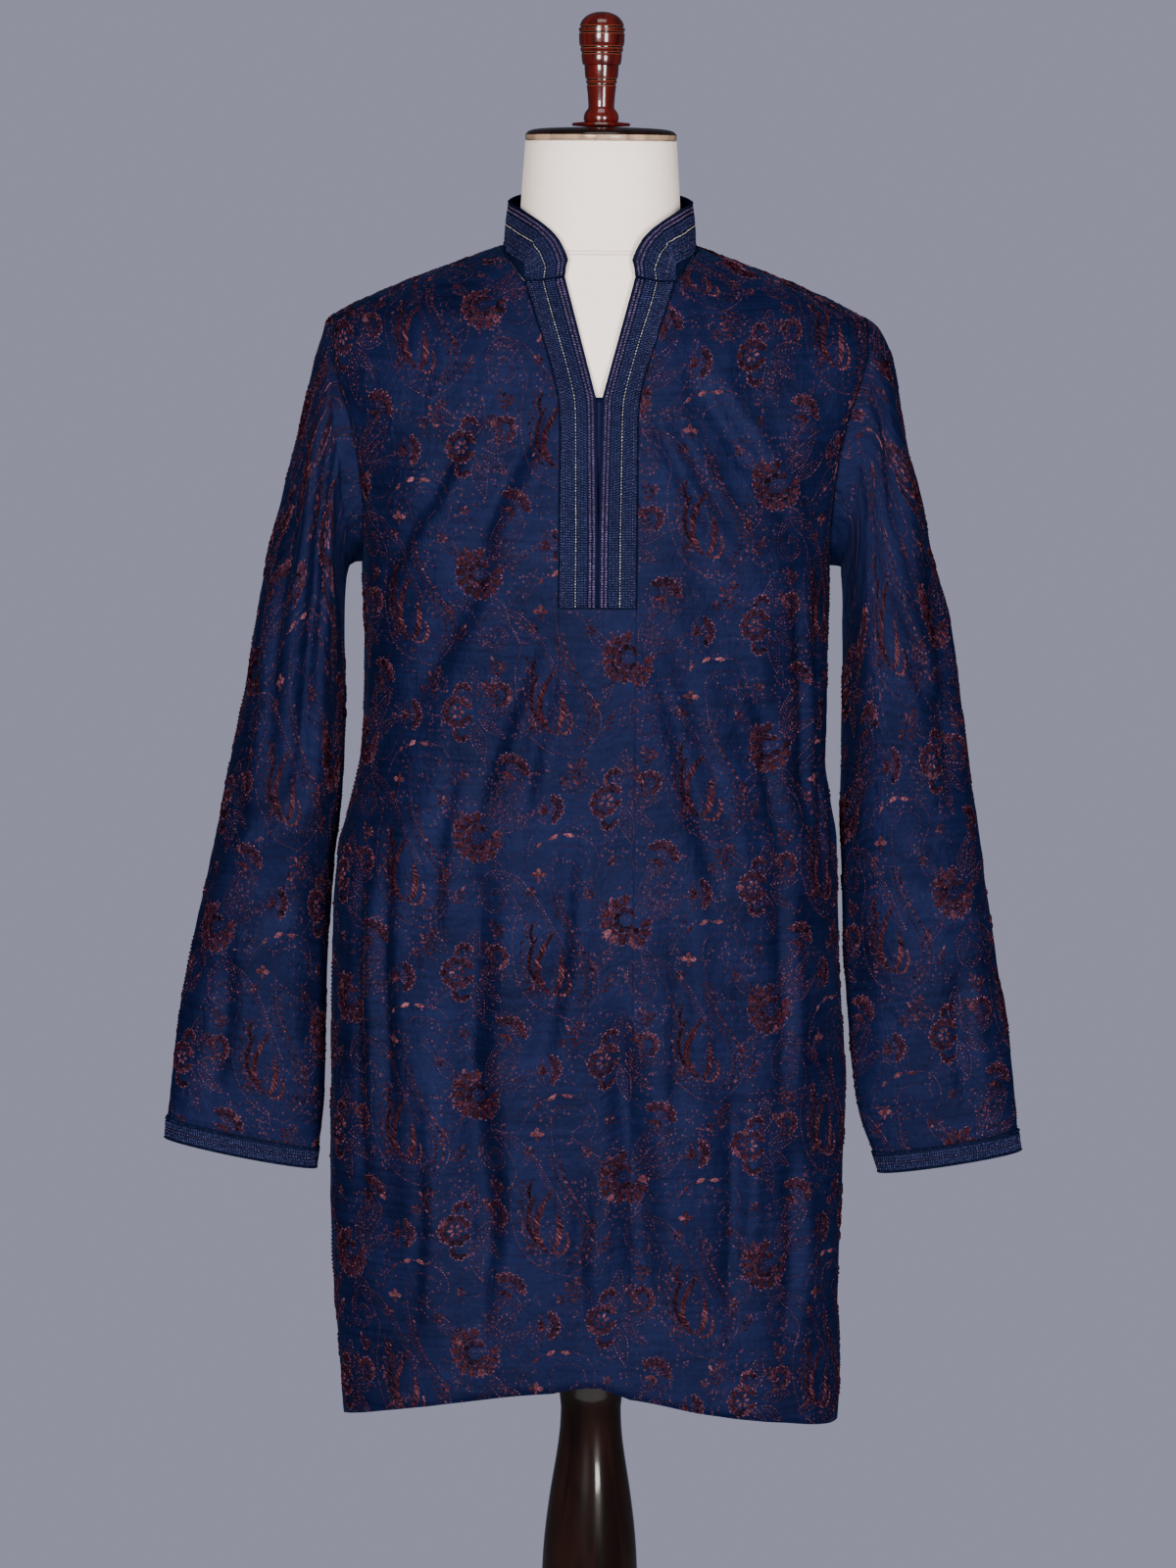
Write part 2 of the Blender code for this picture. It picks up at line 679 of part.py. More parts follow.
def make_collar(trim):
    """A stand in three rows, from the neckline to a top edge that rounds down at the front."""
    rows = [[], [], [], []]
    for point in collar_foot():
        towards_front = math.degrees(math.atan2(SEAM_Y - point.y, abs(point.x)))
        turn = math.radians(towards_front)
        reach = COLLAR_TOP_FRONT if towards_front > 0 else COLLAR_TOP_BACK
        x = math.copysign(COLLAR_TOP_HALF * math.cos(turn), point.x)
        top = Vector((x, SEAM_Y - reach * math.sin(turn), smooth(COLLAR_TOP, towards_front, 1)))
        start = point + Vector((0, 0, 2 * GAP))
        for share, row in zip((0, 0.33, 0.67, 1), rows):
            row.append(start.lerp(top, share))
    thicken(grid("collar", rows, trim, flip=True), COLLAR_WALL)


def make_bands(trim):
    """Each band is made from the front panel's own points beside the slit, moved out."""
    for side, name in ((-1, "left"), (1, "right")):
        rows = []
        for row in range(SKIRT_ROWS - 1, TOP_ROW + 1):
            columns = range(PANEL_COLUMNS, BODY_COLUMNS - 1, -1)
            rows.append([panel_point(row, column, side, False, GAP) for column in columns])
        band = grid("placket_band_" + name, rows, trim, flip=side < 0)
        thicken(band, BAND_WALL, outward=True)


def on_front(x, z, side, out):
    """A point of the front panel at a distance from the middle, moved out."""
    return lifted(angle_at(x, z, side, False), z, side, False, out) - Vector((0, SEAM_HALF_GAP, 0))


def make_strip(cloth):
    """The underlap behind the slit, on the inside of the front panel."""
    rows = []
    for i in range(8):
        z = mix(BAND_END_Z + 0.004, STRIP_TOP_Z, i / 7)
        row = []
        for x in (-STRIP_HALF, -STRIP_HALF / 2, 0.0, STRIP_HALF / 2, STRIP_HALF):
            row.append(on_front(abs(x), z, -1 if x < 0 else 1, -CLOTH - 3 * GAP))
        rows.append(row)
    thicken(grid("placket_underlap", rows, cloth), CLOTH)


def form_shoulder_z(half):
    over = max(0.0, half - SHOULDER_ROUND_X) / (FORM_SHOULDER_HALF - SHOULDER_ROUND_X)
    return shoulder_z(half) - CLOTH_LIFT - SHOULDER_ROUND_DROP * over**2


def torso_rows():
    sections = [tuple(row) + (0.82,) for row in TORSO]
    for half in (0.196, 0.190, 0.178, 0.160, 0.140, 0.120, 0.100, 0.086):
        z = form_shoulder_z(half)
        lift = z + CLOTH_LIFT
        inset = CLOTH + 2 * GAP
        front, back = smooth(BODY, lift, 3) - inset, smooth(BODY, lift, 4) - inset
        sections.append((z, half, front, back, smooth(BODY, lift, 5)))
    sections += [tuple(row) + (1.0,) for row in NECK]
    rows = []
    for z, half, front, back, power in sections:
        row = []
        for i in range(TORSO_COLUMNS):
            turn = 2 * math.pi * i / TORSO_COLUMNS
            across, deep = math.cos(turn), math.sin(turn)
            x = math.copysign(abs(across) ** power, across) * half
            depth = back if deep > 0 else front
            y = middle_y(z) + math.copysign(abs(deep) ** power, deep) * depth
            row.append(Vector((x, y, z)))
        rows.append(row)
    return rows


def make_torso(linen):
    """The padded form: rings joined to a closed body, with a flat face below and above."""
    rows = torso_rows()
    obj = grid("form_torso", rows, linen, closed=True)
    points = [vertex.co.copy() for vertex in obj.data.vertices]
    faces = [list(polygon.vertices) for polygon in obj.data.polygons]
    bpy.data.objects.remove(obj)
    last = (len(rows) - 1) * TORSO_COLUMNS
    faces.append(list(range(TORSO_COLUMNS))[::-1])
    faces.append([last + i for i in range(TORSO_COLUMNS)])
    new_mesh_object("form_torso", points, faces, linen)


for old in list(bpy.data.objects):
    bpy.data.objects.remove(old)

KURTA = bpy.data.collections.new("kurta_on_dress_form")
bpy.context.scene.collection.children.link(KURTA)

navy = material("navy embroidered satin", (0.020, 0.035, 0.105), 0.45)
navy_trim = material("navy stitched trim", (0.012, 0.020, 0.060), 0.60)
linen = material("cream linen", (0.72, 0.63, 0.54), 0.85)
mahogany = material("red mahogany lacquer", (0.10, 0.008, 0.006), 0.18)
dark_wood = material("dark lacquered wood", (0.020, 0.008, 0.007), 0.20)

make_front_and_back(navy)
make_sleeves(navy, navy_trim)
make_collar(navy_trim)
make_bands(navy_trim)
make_strip(navy)
make_torso(linen)
turned("neck_cap", NECK_CAP, dark_wood)
turned("finial", FINIAL, mahogany)
turned("column", COLUMN, dark_wood)
turned("base", BASE, dark_wood)
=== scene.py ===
# %% [markdown]
# # A kurta on a dress form
#
# The object is a long navy kurta with maroon embroidery, on a limbless dress form with a turned
# stand. The solids come in as a fixed frame, and this file gives each of them its visible form:
# cloth with its creases, stitched bands, embroidery, linen, and lacquered wood. Cells that start
# with [markdown] say what a piece is on the real object and why it is made the way it is.

# %% The frame of solids
import math

import bmesh
import bpy
import numpy as np
from mathutils import Matrix, Vector, noise
from mathutils.bvhtree import BVHTree


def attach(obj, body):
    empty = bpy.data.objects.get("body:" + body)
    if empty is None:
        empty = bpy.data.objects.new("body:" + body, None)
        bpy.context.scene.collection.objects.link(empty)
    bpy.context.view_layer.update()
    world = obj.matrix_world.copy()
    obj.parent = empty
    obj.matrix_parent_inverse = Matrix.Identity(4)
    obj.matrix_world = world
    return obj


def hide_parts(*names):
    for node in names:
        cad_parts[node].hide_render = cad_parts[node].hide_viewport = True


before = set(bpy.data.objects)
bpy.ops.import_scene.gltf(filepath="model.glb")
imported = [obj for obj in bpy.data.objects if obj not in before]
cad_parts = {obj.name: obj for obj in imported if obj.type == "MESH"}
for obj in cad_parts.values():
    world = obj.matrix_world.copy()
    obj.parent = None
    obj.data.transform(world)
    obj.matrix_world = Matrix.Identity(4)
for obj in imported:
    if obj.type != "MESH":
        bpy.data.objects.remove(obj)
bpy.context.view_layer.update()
print("nodes:", ", ".join(sorted(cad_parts)))

# %% [markdown]
# ## The cloth body
#
# A garment that hangs is close to a stack of level sections. Each section is a squared ellipse,
# and short tables say how wide and how deep it is at each height. The panels are grids on that
# surface: row 0 is the hem, the last row is the neckline, column 0 is the side and the last column
# is the centre. The solids of the frame are made from the same tables with wide steps. Here the
# steps are fine, so that creases have points to bend.

# %% Sizes of the cloth body, in metres
UNDERARM_Z, TIP_Z = 1.200, 1.400  # the tip is where the shoulder seam meets the sleeve
NECK_POINT = (0.076, 1.457)  # half-width and height where the shoulder seam meets the collar
TIP_HALF, SHOULDER_SLOPE, SEAM_Y = 0.215, 0.354, 0.005
ARMHOLE_FRONT, ARMHOLE_BACK = 0.060, 0.066
SLIT_TOP_Z, SLIT_V_Z, SLIT_END_Z, BAND_END_Z = 1.4328, 1.338, 1.2307, 1.173
SLIT_TOP_HALF, SLIT_V_HALF = 0.0279, 0.0023
CLOTH = 0.0007  # the wall of the fine cloth

# height, left half, right half, front depth, back depth, power (1 is an ellipse, less is squarer)
BODY = (
    (0.480, 0.2030, 0.2040, 0.104, 0.098, 0.90),
    (0.540, 0.2075, 0.2055, 0.108, 0.100, 0.90),
    (0.600, 0.2125, 0.2030, 0.112, 0.103, 0.89),
    (0.700, 0.2150, 0.2045, 0.116, 0.107, 0.88),
    (0.790, 0.2155, 0.2060, 0.118, 0.110, 0.87),
    (0.890, 0.2145, 0.1990, 0.119, 0.112, 0.86),
    (0.960, 0.2105, 0.1965, 0.119, 0.111, 0.85),
    (1.010, 0.1985, 0.1880, 0.119, 0.109, 0.84),
    (1.045, 0.1915, 0.1830, 0.119, 0.108, 0.83),
    (1.085, 0.1890, 0.1850, 0.120, 0.108, 0.82),
    (1.150, 0.1890, 0.1875, 0.122, 0.110, 0.80),
    (1.200, 0.1900, 0.1880, 0.123, 0.112, 0.79),
    (1.250, 0.1900, 0.1880, 0.123, 0.115, 0.80),
    (1.300, 0.1900, 0.1880, 0.119, 0.116, 0.84),
    (1.340, 0.1900, 0.1880, 0.112, 0.112, 0.90),
    (1.370, 0.1900, 0.1880, 0.103, 0.105, 0.96),
    (1.400, 0.1900, 0.1880, 0.092, 0.095, 1.04),
    (1.430, 0.1900, 0.1880, 0.080, 0.084, 1.12),
    (1.457, 0.1900, 0.1880, 0.070, 0.073, 1.02),
    (1.475, 0.1900, 0.1880, 0.067, 0.070, 1.00),
)
# height, half-width of the armhole seam
ARMHOLE_WIDTH = (
    (1.200, 0.1900),
    (1.240, 0.1885),
    (1.280, 0.1915),
    (1.320, 0.2000),
    (1.350, 0.2095),
    (1.375, 0.2160),
    (1.400, 0.2150),
)
# x, height of the front hem
FRONT_HEM = (
    (-0.205, 0.4950),
    (-0.180, 0.5035),
    (-0.134, 0.5185),
    (-0.061, 0.5370),
    (0.000, 0.5415),
    (0.061, 0.5325),
    (0.101, 0.5180),
    (0.146, 0.5055),
    (0.175, 0.4985),
    (0.205, 0.4930),
)
BACK_HEM_SIDE_Z, BACK_HEM_RISE, HEM_FADE_Z = 0.4940, 0.0060, 0.900
# distance from the middle and height of the front neckline, from the neck point to the slit
FRONT_NECK = (
    (0.0760, 1.4570),
    (0.0766, 1.4560),
    (0.0764, 1.4540),
    (0.0754, 1.4508),
    (0.0738, 1.4468),
    (0.0714, 1.4428),
    (0.0684, 1.4388),
    (0.0652, 1.4348),
    (0.0620, 1.4310),
    (0.0590, 1.4280),
    (0.0487, 1.4285),
    (0.0383, 1.4303),
    (0.0279, 1.4328),
)
BACK_NECK_RISE = 0.013
# height, distance from the middle of each placket band's outer edge
BAND_OUTER = ((1.1730, 0.0312), (1.3184, 0.0312), (1.4280, 0.0590))

BODY_COLUMNS, BAND_COLUMNS = 9, 3
PANEL_COLUMNS = BODY_COLUMNS + BAND_COLUMNS
SKIRT_LEVELS = (0.494, 0.548, 0.602, 0.656, 0.710, 0.764, 0.818, 0.872, 0.926, 0.980, 1.034, 1.082)
SKIRT_LEVELS += (1.128, BAND_END_Z, UNDERARM_Z)
SKIRT_ROWS = len(SKIRT_LEVELS) - 1
ARMHOLE_ROWS, SHOULDER_ROWS = 9, 5
TIP_ROW = SKIRT_ROWS + ARMHOLE_ROWS
TOP_ROW = TIP_ROW + SHOULDER_ROWS
SLIT_END_ROW = SKIRT_ROWS + 2
print("grid of a panel:", TOP_ROW, "rows,", PANEL_COLUMNS, "columns on each half")


# %% Reading a table on a smooth curve
def smooth(table, at, column):
    """A column of the table at each place, on a curve that never overshoots its rows."""
    keys = np.array([row[0] for row in table], float)
    values = np.array([row[column] for row in table], float)
    steps = np.diff(values) / np.diff(keys)
    before, after = steps[:-1], steps[1:]
    same = before * after > 0
    inner = np.where(same, 2 * before * after / np.where(same, before + after, 1.0), 0.0)
    slope = np.concatenate([steps[:1], inner, steps[-1:]])
    at = np.clip(at, keys[0], keys[-1])
    i = np.clip(np.searchsorted(keys, at, side="right") - 1, 0, len(keys) - 2)
    width = keys[i + 1] - keys[i]
    t = (at - keys[i]) / width
    rise, start, end = values[i + 1] - values[i], slope[i] * width, slope[i + 1] * width
    return values[i] + t * start + t**2 * (3 * rise - 2 * start - end) + t**3 * (start + end - 2 * rise)


def mix(a, b, t):
    return a + (b - a) * t


print("half-width at the waist:", round(float(smooth(BODY, 1.085, 2)), 4))


# %% One level section of the body
def middle_y(z):
    return SEAM_Y * np.clip((z - UNDERARM_Z) / (TIP_Z - UNDERARM_Z), 0, 1)


def edge_angle(z, back):
    """The angle at which a panel starts: 0 on the side and shoulder seams, more on the armhole."""
    middle, reach = (TIP_Z + UNDERARM_Z) / 2, (TIP_Z - UNDERARM_Z) / 2
    turn = np.arccos(np.clip((z - middle) / reach, -1, 1))
    share = (ARMHOLE_BACK if back else ARMHOLE_FRONT) * np.sin(turn) / smooth(BODY, z, 4 if back else 3)
    return np.arcsin(np.clip(share, 0, 1) ** (1 / smooth(BODY, z, 5)))


def shoulder_z(half):
    """Height of the shoulder seam at a distance from the middle."""
    reach = TIP_HALF - NECK_POINT[0]
    drop = NECK_POINT[1] - SHOULDER_SLOPE * reach - TIP_Z
    run = np.maximum((half - NECK_POINT[0]) / reach, 0)
    return NECK_POINT[1] - SHOULDER_SLOPE * (half - NECK_POINT[0]) - drop * run**4


shoulder_halves = np.linspace(NECK_POINT[0], TIP_HALF, 80)
shoulder_heights = shoulder_z(shoulder_halves)


def half_width(z, side, back):
    own = smooth(BODY, z, 1 if side < 0 else 2)
    turn = np.cos(edge_angle(z, back)) ** smooth(BODY, z, 5)
    low = (own - ARMHOLE_WIDTH[0][1]) * np.maximum(0, 1 - (z - UNDERARM_Z) / 0.05)
    armhole = smooth(ARMHOLE_WIDTH, z, 1) / turn + low
    shoulder = np.interp(z, shoulder_heights[::-1], shoulder_halves[::-1])
    neck = NECK_POINT[0] - 0.2 * (z - NECK_POINT[1])
    return np.select([z >= NECK_POINT[1], z >= TIP_Z, z > UNDERARM_Z], [neck, shoulder, armhole], own)


def section(angle, z, side, back):
    power = smooth(BODY, z, 5)
    x = half_width(z, side, back) * np.maximum(np.cos(angle), 0) ** power
    depth = smooth(BODY, z, 4 if back else 3) * np.maximum(np.sin(angle), 0) ** power
    return np.stack([side * x, middle_y(z) + (depth if back else -depth), z + 0 * x], axis=-1)


def angle_at(x, z, side, back):
    """The angle whose point lies at a distance x from the middle."""
    share = np.clip(x / half_width(z, side, back), 0, 1)
    return np.arccos(share ** (1 / smooth(BODY, z, 5)))


print("chest point:", np.round(section(1.2, np.array(1.25), 1, False), 4))


# %% Where a row and a column of a panel lie
def hem_z(x, back):
    if back:
        return BACK_HEM_SIDE_Z + BACK_HEM_RISE * (1 - (x / 0.205) ** 2)
    return smooth(FRONT_HEM, x, 1)


def row_height(row, column, side, back):
    place = column / PANEL_COLUMNS
    level = np.interp(row, range(len(SKIRT_LEVELS)), SKIRT_LEVELS)
    fade = np.maximum(0, 1 - (level - BACK_HEM_SIDE_Z) / (HEM_FADE_Z - BACK_HEM_SIDE_Z)) ** 1.5
    skirt = level + (hem_z(side * (1 - place**1.3) * 0.204, back) - BACK_HEM_SIDE_Z) * fade
    tip_row = mix(TIP_Z, SLIT_V_Z, place)
    step = np.clip((row - SKIRT_ROWS) / ARMHOLE_ROWS, 0, 1)
    seam = (1 - np.cos(np.pi * step)) / 2
    armhole = mix(UNDERARM_Z, tip_row, mix(seam, step, place**0.5))
    if back:
        neck = NECK_POINT[1] + BACK_NECK_RISE * np.sin(place * np.pi / 2)
    else:
        neck = np.interp(column, range(len(FRONT_NECK)), [z for _, z in FRONT_NECK])
    above = np.clip((row - TIP_ROW) / SHOULDER_ROWS, 0, 1)
    return np.where(row <= SKIRT_ROWS, skirt, mix(armhole, neck, above))


def slit_half(z):
    """Half the open width between the placket bands."""
    return np.interp(z, (SLIT_END_Z, SLIT_V_Z, SLIT_TOP_Z), (0.0, SLIT_V_HALF, SLIT_TOP_HALF))


def panel_place(row, column, side, back):
    """Angle and height on the body of the points of a panel's grid."""
    z = row_height(row, column, side, back)
    start = edge_angle(z, back)
    if back:
        return mix(start, np.pi / 2, column / PANEL_COLUMNS), z
    band = smooth(BAND_OUTER, z, 1)
    share = np.clip((column - BODY_COLUMNS) / BAND_COLUMNS, 0, 1)
    inner = angle_at(mix(band, slit_half(z), share), z, side, False)
    outer = mix(start, angle_at(band, z, side, False), np.clip(column / BODY_COLUMNS, 0, 1))
    above = np.clip((row - TIP_ROW) / SHOULDER_ROWS, 0, 1)
    neck_x, neck_z = (np.interp(column, range(len(FRONT_NECK)), line) for line in zip(*FRONT_NECK))
    outer = mix(outer, angle_at(neck_x, neck_z, side, False), above**2)
    return np.where(column >= BODY_COLUMNS, inner, outer), z


# %% [markdown]
# ## Folds, creases and the flat cut
#
# Satin with dense embroidery hangs in broad soft folds, and the stitching pulls small puckers
# into it. The broad folds are the ones that the frame's solids have. The creases are listed one
# by one: each is a line in the flat cut of its panel, with its own width and depth, and a low ridge
# on one side, as pulled cloth has. Every point also gets its place in the flat cut, in metres.
# The embroidery is charted in that flat cut, just as it is stitched before the panels are sewn.

# %% Tables of folds and creases
# panel, run and height at the fold's start, the same at its end, width, height (below 0 is a trough)
FOLDS = (
    ("front", -0.065, 1.290, -0.105, 1.190, 0.026, -0.0040),
    ("front", -0.105, 1.170, -0.165, 1.060, 0.030, -0.0045),
    ("front", -0.070, 1.090, -0.112, 0.960, 0.028, -0.0050),
    ("front", -0.095, 0.960, -0.085, 0.640, 0.032, -0.0065),
    ("front", -0.150, 0.900, -0.140, 0.560, 0.030, 0.0050),
    ("front", 0.060, 1.230, 0.110, 1.100, 0.026, -0.0040),
    ("front", 0.050, 1.140, 0.100, 0.950, 0.030, -0.0050),
    ("front", 0.015, 0.840, 0.045, 0.600, 0.034, -0.0070),
    ("front", 0.115, 0.800, 0.118, 0.570, 0.028, -0.0045),
    ("front", 0.150, 1.120, 0.180, 0.920, 0.026, -0.0045),
    ("back", -0.060, 1.260, -0.120, 1.080, 0.034, -0.0045),
    ("back", 0.070, 1.250, 0.115, 1.100, 0.032, -0.0040),
    ("back", -0.020, 1.050, -0.035, 0.700, 0.040, -0.0060),
    ("back", 0.080, 1.000, 0.070, 0.640, 0.036, -0.0065),
    ("back", -0.130, 0.960, -0.115, 0.600, 0.032, 0.0050),
    ("back", 0.150, 0.900, 0.155, 0.580, 0.030, 0.0045),
)
# panel, width, depth, then the crease's points in the flat cut: run to the viewer's right, height
CREASES = (
    ("front", 0.007, 0.0030, (-0.045, 1.330), (-0.066, 1.290), (-0.098, 1.215)),
    ("front", 0.008, 0.0032, (-0.075, 1.230), (-0.104, 1.178), (-0.160, 1.090)),
    ("front", 0.006, 0.0026, (-0.040, 1.165), (-0.071, 1.090), (-0.094, 1.020)),
    ("front", 0.006, 0.0024, (-0.100, 1.330), (-0.135, 1.258), (-0.190, 1.180)),
    ("front", 0.005, 0.0020, (-0.030, 1.150), (-0.050, 1.060), (-0.060, 0.990)),
    ("front", 0.008, 0.0034, (0.036, 1.165), (0.070, 1.060), (0.106, 0.935)),
    ("front", 0.006, 0.0028, (0.045, 1.330), (0.075, 1.265), (0.115, 1.200)),
    ("front", 0.006, 0.0024, (0.075, 1.360), (0.120, 1.290), (0.165, 1.225)),
    ("front", 0.009, 0.0038, (-0.089, 0.965), (-0.102, 0.813), (-0.084, 0.640)),
    ("front", 0.009, 0.0040, (0.016, 0.850), (0.036, 0.687), (0.044, 0.600)),
    ("front", 0.006, 0.0026, (-0.078, 0.740), (-0.086, 0.640), (-0.090, 0.575)),
    ("front", 0.005, 0.0028, (0.114, 0.790), (0.119, 0.700), (0.117, 0.610)),
    ("front", 0.006, 0.0022, (-0.020, 1.000), (-0.028, 0.880), (-0.050, 0.780)),
    ("front", 0.006, 0.0022, (0.060, 0.960), (0.070, 0.850), (0.066, 0.720)),
    ("front", 0.005, 0.0024, (-0.170, 1.000), (-0.176, 0.880), (-0.168, 0.740)),
    ("front", 0.005, 0.0026, (-0.200, 0.960), (-0.204, 0.840), (-0.196, 0.680)),
    ("front", 0.005, 0.0022, (-0.145, 0.780), (-0.140, 0.680), (-0.146, 0.590)),
    ("front", 0.005, 0.0030, (0.165, 1.190), (0.178, 1.100), (0.186, 0.990)),
    ("front", 0.004, 0.0026, (0.188, 1.170), (0.200, 1.080), (0.206, 0.960)),
    ("front", 0.004, 0.0026, (0.208, 1.150), (0.220, 1.060), (0.224, 0.950)),
    ("front", 0.005, 0.0022, (0.150, 0.960), (0.160, 0.860), (0.158, 0.760)),
    ("front", 0.006, 0.0022, (-0.005, 0.720), (-0.012, 0.640), (-0.006, 0.580)),
    ("front", 0.006, 0.0022, (0.165, 0.740), (0.172, 0.650), (0.168, 0.560)),
    ("front", 0.005, 0.0022, (0.110, 1.150), (0.140, 1.070), (0.152, 0.990)),
    ("front", 0.005, 0.0020, (-0.110, 1.060), (-0.128, 0.990), (-0.130, 0.900)),
    ("back", 0.008, 0.0030, (-0.040, 1.390), (-0.090, 1.330), (-0.160, 1.290)),
    ("back", 0.008, 0.0030, (0.045, 1.390), (0.095, 1.325), (0.165, 1.280)),
    ("back", 0.008, 0.0034, (-0.050, 1.280), (-0.095, 1.180), (-0.125, 1.060)),
    ("back", 0.008, 0.0032, (0.060, 1.270), (0.100, 1.170), (0.122, 1.060)),
    ("back", 0.009, 0.0038, (-0.015, 1.080), (-0.030, 0.880), (-0.036, 0.680)),
    ("back", 0.009, 0.0038, (0.085, 1.020), (0.074, 0.840), (0.068, 0.630)),
    ("back", 0.006, 0.0026, (-0.110, 0.930), (-0.104, 0.780), (-0.112, 0.620)),
    ("back", 0.006, 0.0026, (0.150, 0.960), (0.160, 0.800), (0.152, 0.640)),
    ("back", 0.006, 0.0026, (-0.170, 1.100), (-0.186, 0.980), (-0.182, 0.840)),
    ("back", 0.005, 0.0024, (0.190, 1.120), (0.202, 1.000), (0.200, 0.880)),
    ("back", 0.006, 0.0022, (0.020, 0.860), (0.016, 0.740), (0.024, 0.600)),
    ("sleeve_left", 0.008, 0.0030, (0.060, 1.290), (0.072, 1.170), (0.066, 1.020)),
    ("sleeve_left", 0.007, 0.0028, (0.030, 1.200), (0.040, 1.080), (0.036, 0.960)),
    ("sleeve_left", 0.007, 0.0028, (0.110, 1.230), (0.120, 1.120), (0.098, 0.980)),
    ("sleeve_left", 0.006, 0.0026, (0.120, 1.020), (0.070, 0.985), (0.020, 0.975)),
    ("sleeve_left", 0.006, 0.0024, (0.105, 0.930), (0.060, 0.900), (0.015, 0.895)),
    ("sleeve_left", 0.008, 0.0030, (-0.060, 1.300), (-0.075, 1.160), (-0.064, 1.000)),
    ("sleeve_left", 0.006, 0.0024, (-0.100, 1.020), (-0.060, 0.985), (-0.020, 0.970)),
    ("sleeve_left", 0.007, 0.0024, (-0.030, 0.940), (-0.036, 0.860), (-0.030, 0.780)),
    ("sleeve_left", 0.006, 0.0022, (0.045, 0.900), (0.052, 0.830), (0.046, 0.770)),
    ("sleeve_right", 0.008, 0.0032, (-0.062, 1.345), (-0.078, 1.260), (-0.086, 1.170)),
    ("sleeve_right", 0.008, 0.0030, (-0.040, 1.210), (-0.050, 1.110), (-0.044, 1.010)),
    ("sleeve_right", 0.006, 0.0026, (-0.110, 1.140), (-0.070, 1.085), (-0.030, 1.060)),
    ("sleeve_right", 0.006, 0.0026, (-0.105, 1.010), (-0.062, 0.975), (-0.020, 0.965)),
    ("sleeve_right", 0.005, 0.0024, (-0.100, 0.965), (-0.070, 0.940), (-0.034, 0.932)),
    ("sleeve_right", 0.005, 0.0022, (-0.092, 0.925), (-0.060, 0.905), (-0.026, 0.900)),
    ("sleeve_right", 0.008, 0.0030, (0.065, 1.300), (0.078, 1.150), (0.066, 1.000)),
    ("sleeve_right", 0.006, 0.0024, (0.100, 1.040), (0.060, 1.000), (0.020, 0.990)),
    ("sleeve_right", 0.007, 0.0024, (0.026, 0.930), (0.034, 0.850), (0.028, 0.780)),
    ("sleeve_right", 0.006, 0.0022, (-0.048, 0.880), (-0.054, 0.820), (-0.048, 0.760)),
)
FOLD_TAPER = 0.30
print(len(FOLDS), "folds and", len(CREASES), "creases")


# %% How far folds, creases and puckers move the cloth
def fold_height(panel, run, z):
    total = 0.0 * run
    for name, run0, z0, run1, z1, width, height in FOLDS:
        if name != panel:
            continue
        dx, dz = run1 - run0, z1 - z0
        length = math.hypot(dx, dz)
        along = ((run - run0) * dx + (z - z0) * dz) / length**2
        across = ((run - run0) * dz - (z - z0) * dx) / length
        ends = np.clip((along + 0.1) / FOLD_TAPER, 0, 1) * np.clip((1.1 - along) / FOLD_TAPER, 0, 1)
        total = total + height * ends**2 * (3 - 2 * ends) * np.exp(-2 * (across / width) ** 2)
    return total


def crease_height(panel, flat):
    """A soft trough along each crease of the panel, with a low ridge on its left."""
    total = np.zeros(flat.shape[:-1])
    for name, width, depth, *points in CREASES:
        if name != panel:
            continue
        points = np.array(points)
        pieces = np.linalg.norm(np.diff(points, axis=0), axis=1)
        reach, best = np.zeros(total.shape), np.full(total.shape, 9.0)
        away = np.full(total.shape, 9.0)
        done = 0.0
        for a, b, length in zip(points, points[1:], pieces):
            t = np.clip(((flat - a) @ (b - a)) / length**2, 0, 1)
            off = flat - a - t[..., None] * (b - a)
            distance = np.linalg.norm(off, axis=-1)
            signed = np.sign(off[..., 0] * (b - a)[1] - off[..., 1] * (b - a)[0]) * distance
            nearer = distance < best
            best = np.where(nearer, distance, best)
            away = np.where(nearer, signed, away)
            reach = np.where(nearer, (done + t * length) / pieces.sum(), reach)
            done += length
        ends = np.sin(np.pi * np.clip(reach, 0.0, 1.0)) ** 0.6
        width *= CREASE_WIDTH
        trough = np.exp(-((away / width) ** 2))
        ridge = np.exp(-(((away + 1.9 * width) / (1.3 * width)) ** 2))
        total += CREASE_DEPTH * depth * ends * (0.75 * ridge - trough)
    return total


CREASE_DEPTH, CREASE_WIDTH = 2.2, 1.4  # times those in the table
DRAPE, PUCKER = 0.0023, 0.0006  # heights of the long soft ripples, and of the small puckers


def pucker_height(flat, seed):
    """Long soft ripples that run down the cloth, and small puckers between stitched motifs."""
    result = np.zeros(flat.shape[:-1])
    for index in np.ndindex(result.shape):
        u, v = flat[index]
        lean = u + 0.22 * math.tanh(u / 0.09) * (v - 1.0)
        long_ripple = noise.noise(Vector((lean * 23, v * 6.5, seed)))
        sharp = noise.noise(Vector((lean * 34 + 5, v * 11, seed + 3.1)))
        fine = noise.noise(Vector((u * 60, v * 46, seed + 7.3)))
        result[index] = DRAPE * (0.7 * long_ripple + 0.9 * (0.25 - abs(sharp))) + PUCKER * fine
    return result


def outward_normals(points, centre_y):
    along_row, along_column = np.gradient(points, axis=1), np.gradient(points, axis=0)
    normal = np.cross(along_row, along_column)
    normal /= np.maximum(np.linalg.norm(normal, axis=-1, keepdims=True), 1e-12)
    away = points - np.stack([0 * points[..., 0], centre_y, points[..., 2]], axis=-1)
    return normal * np.sign((normal * away).sum(axis=-1, keepdims=True))


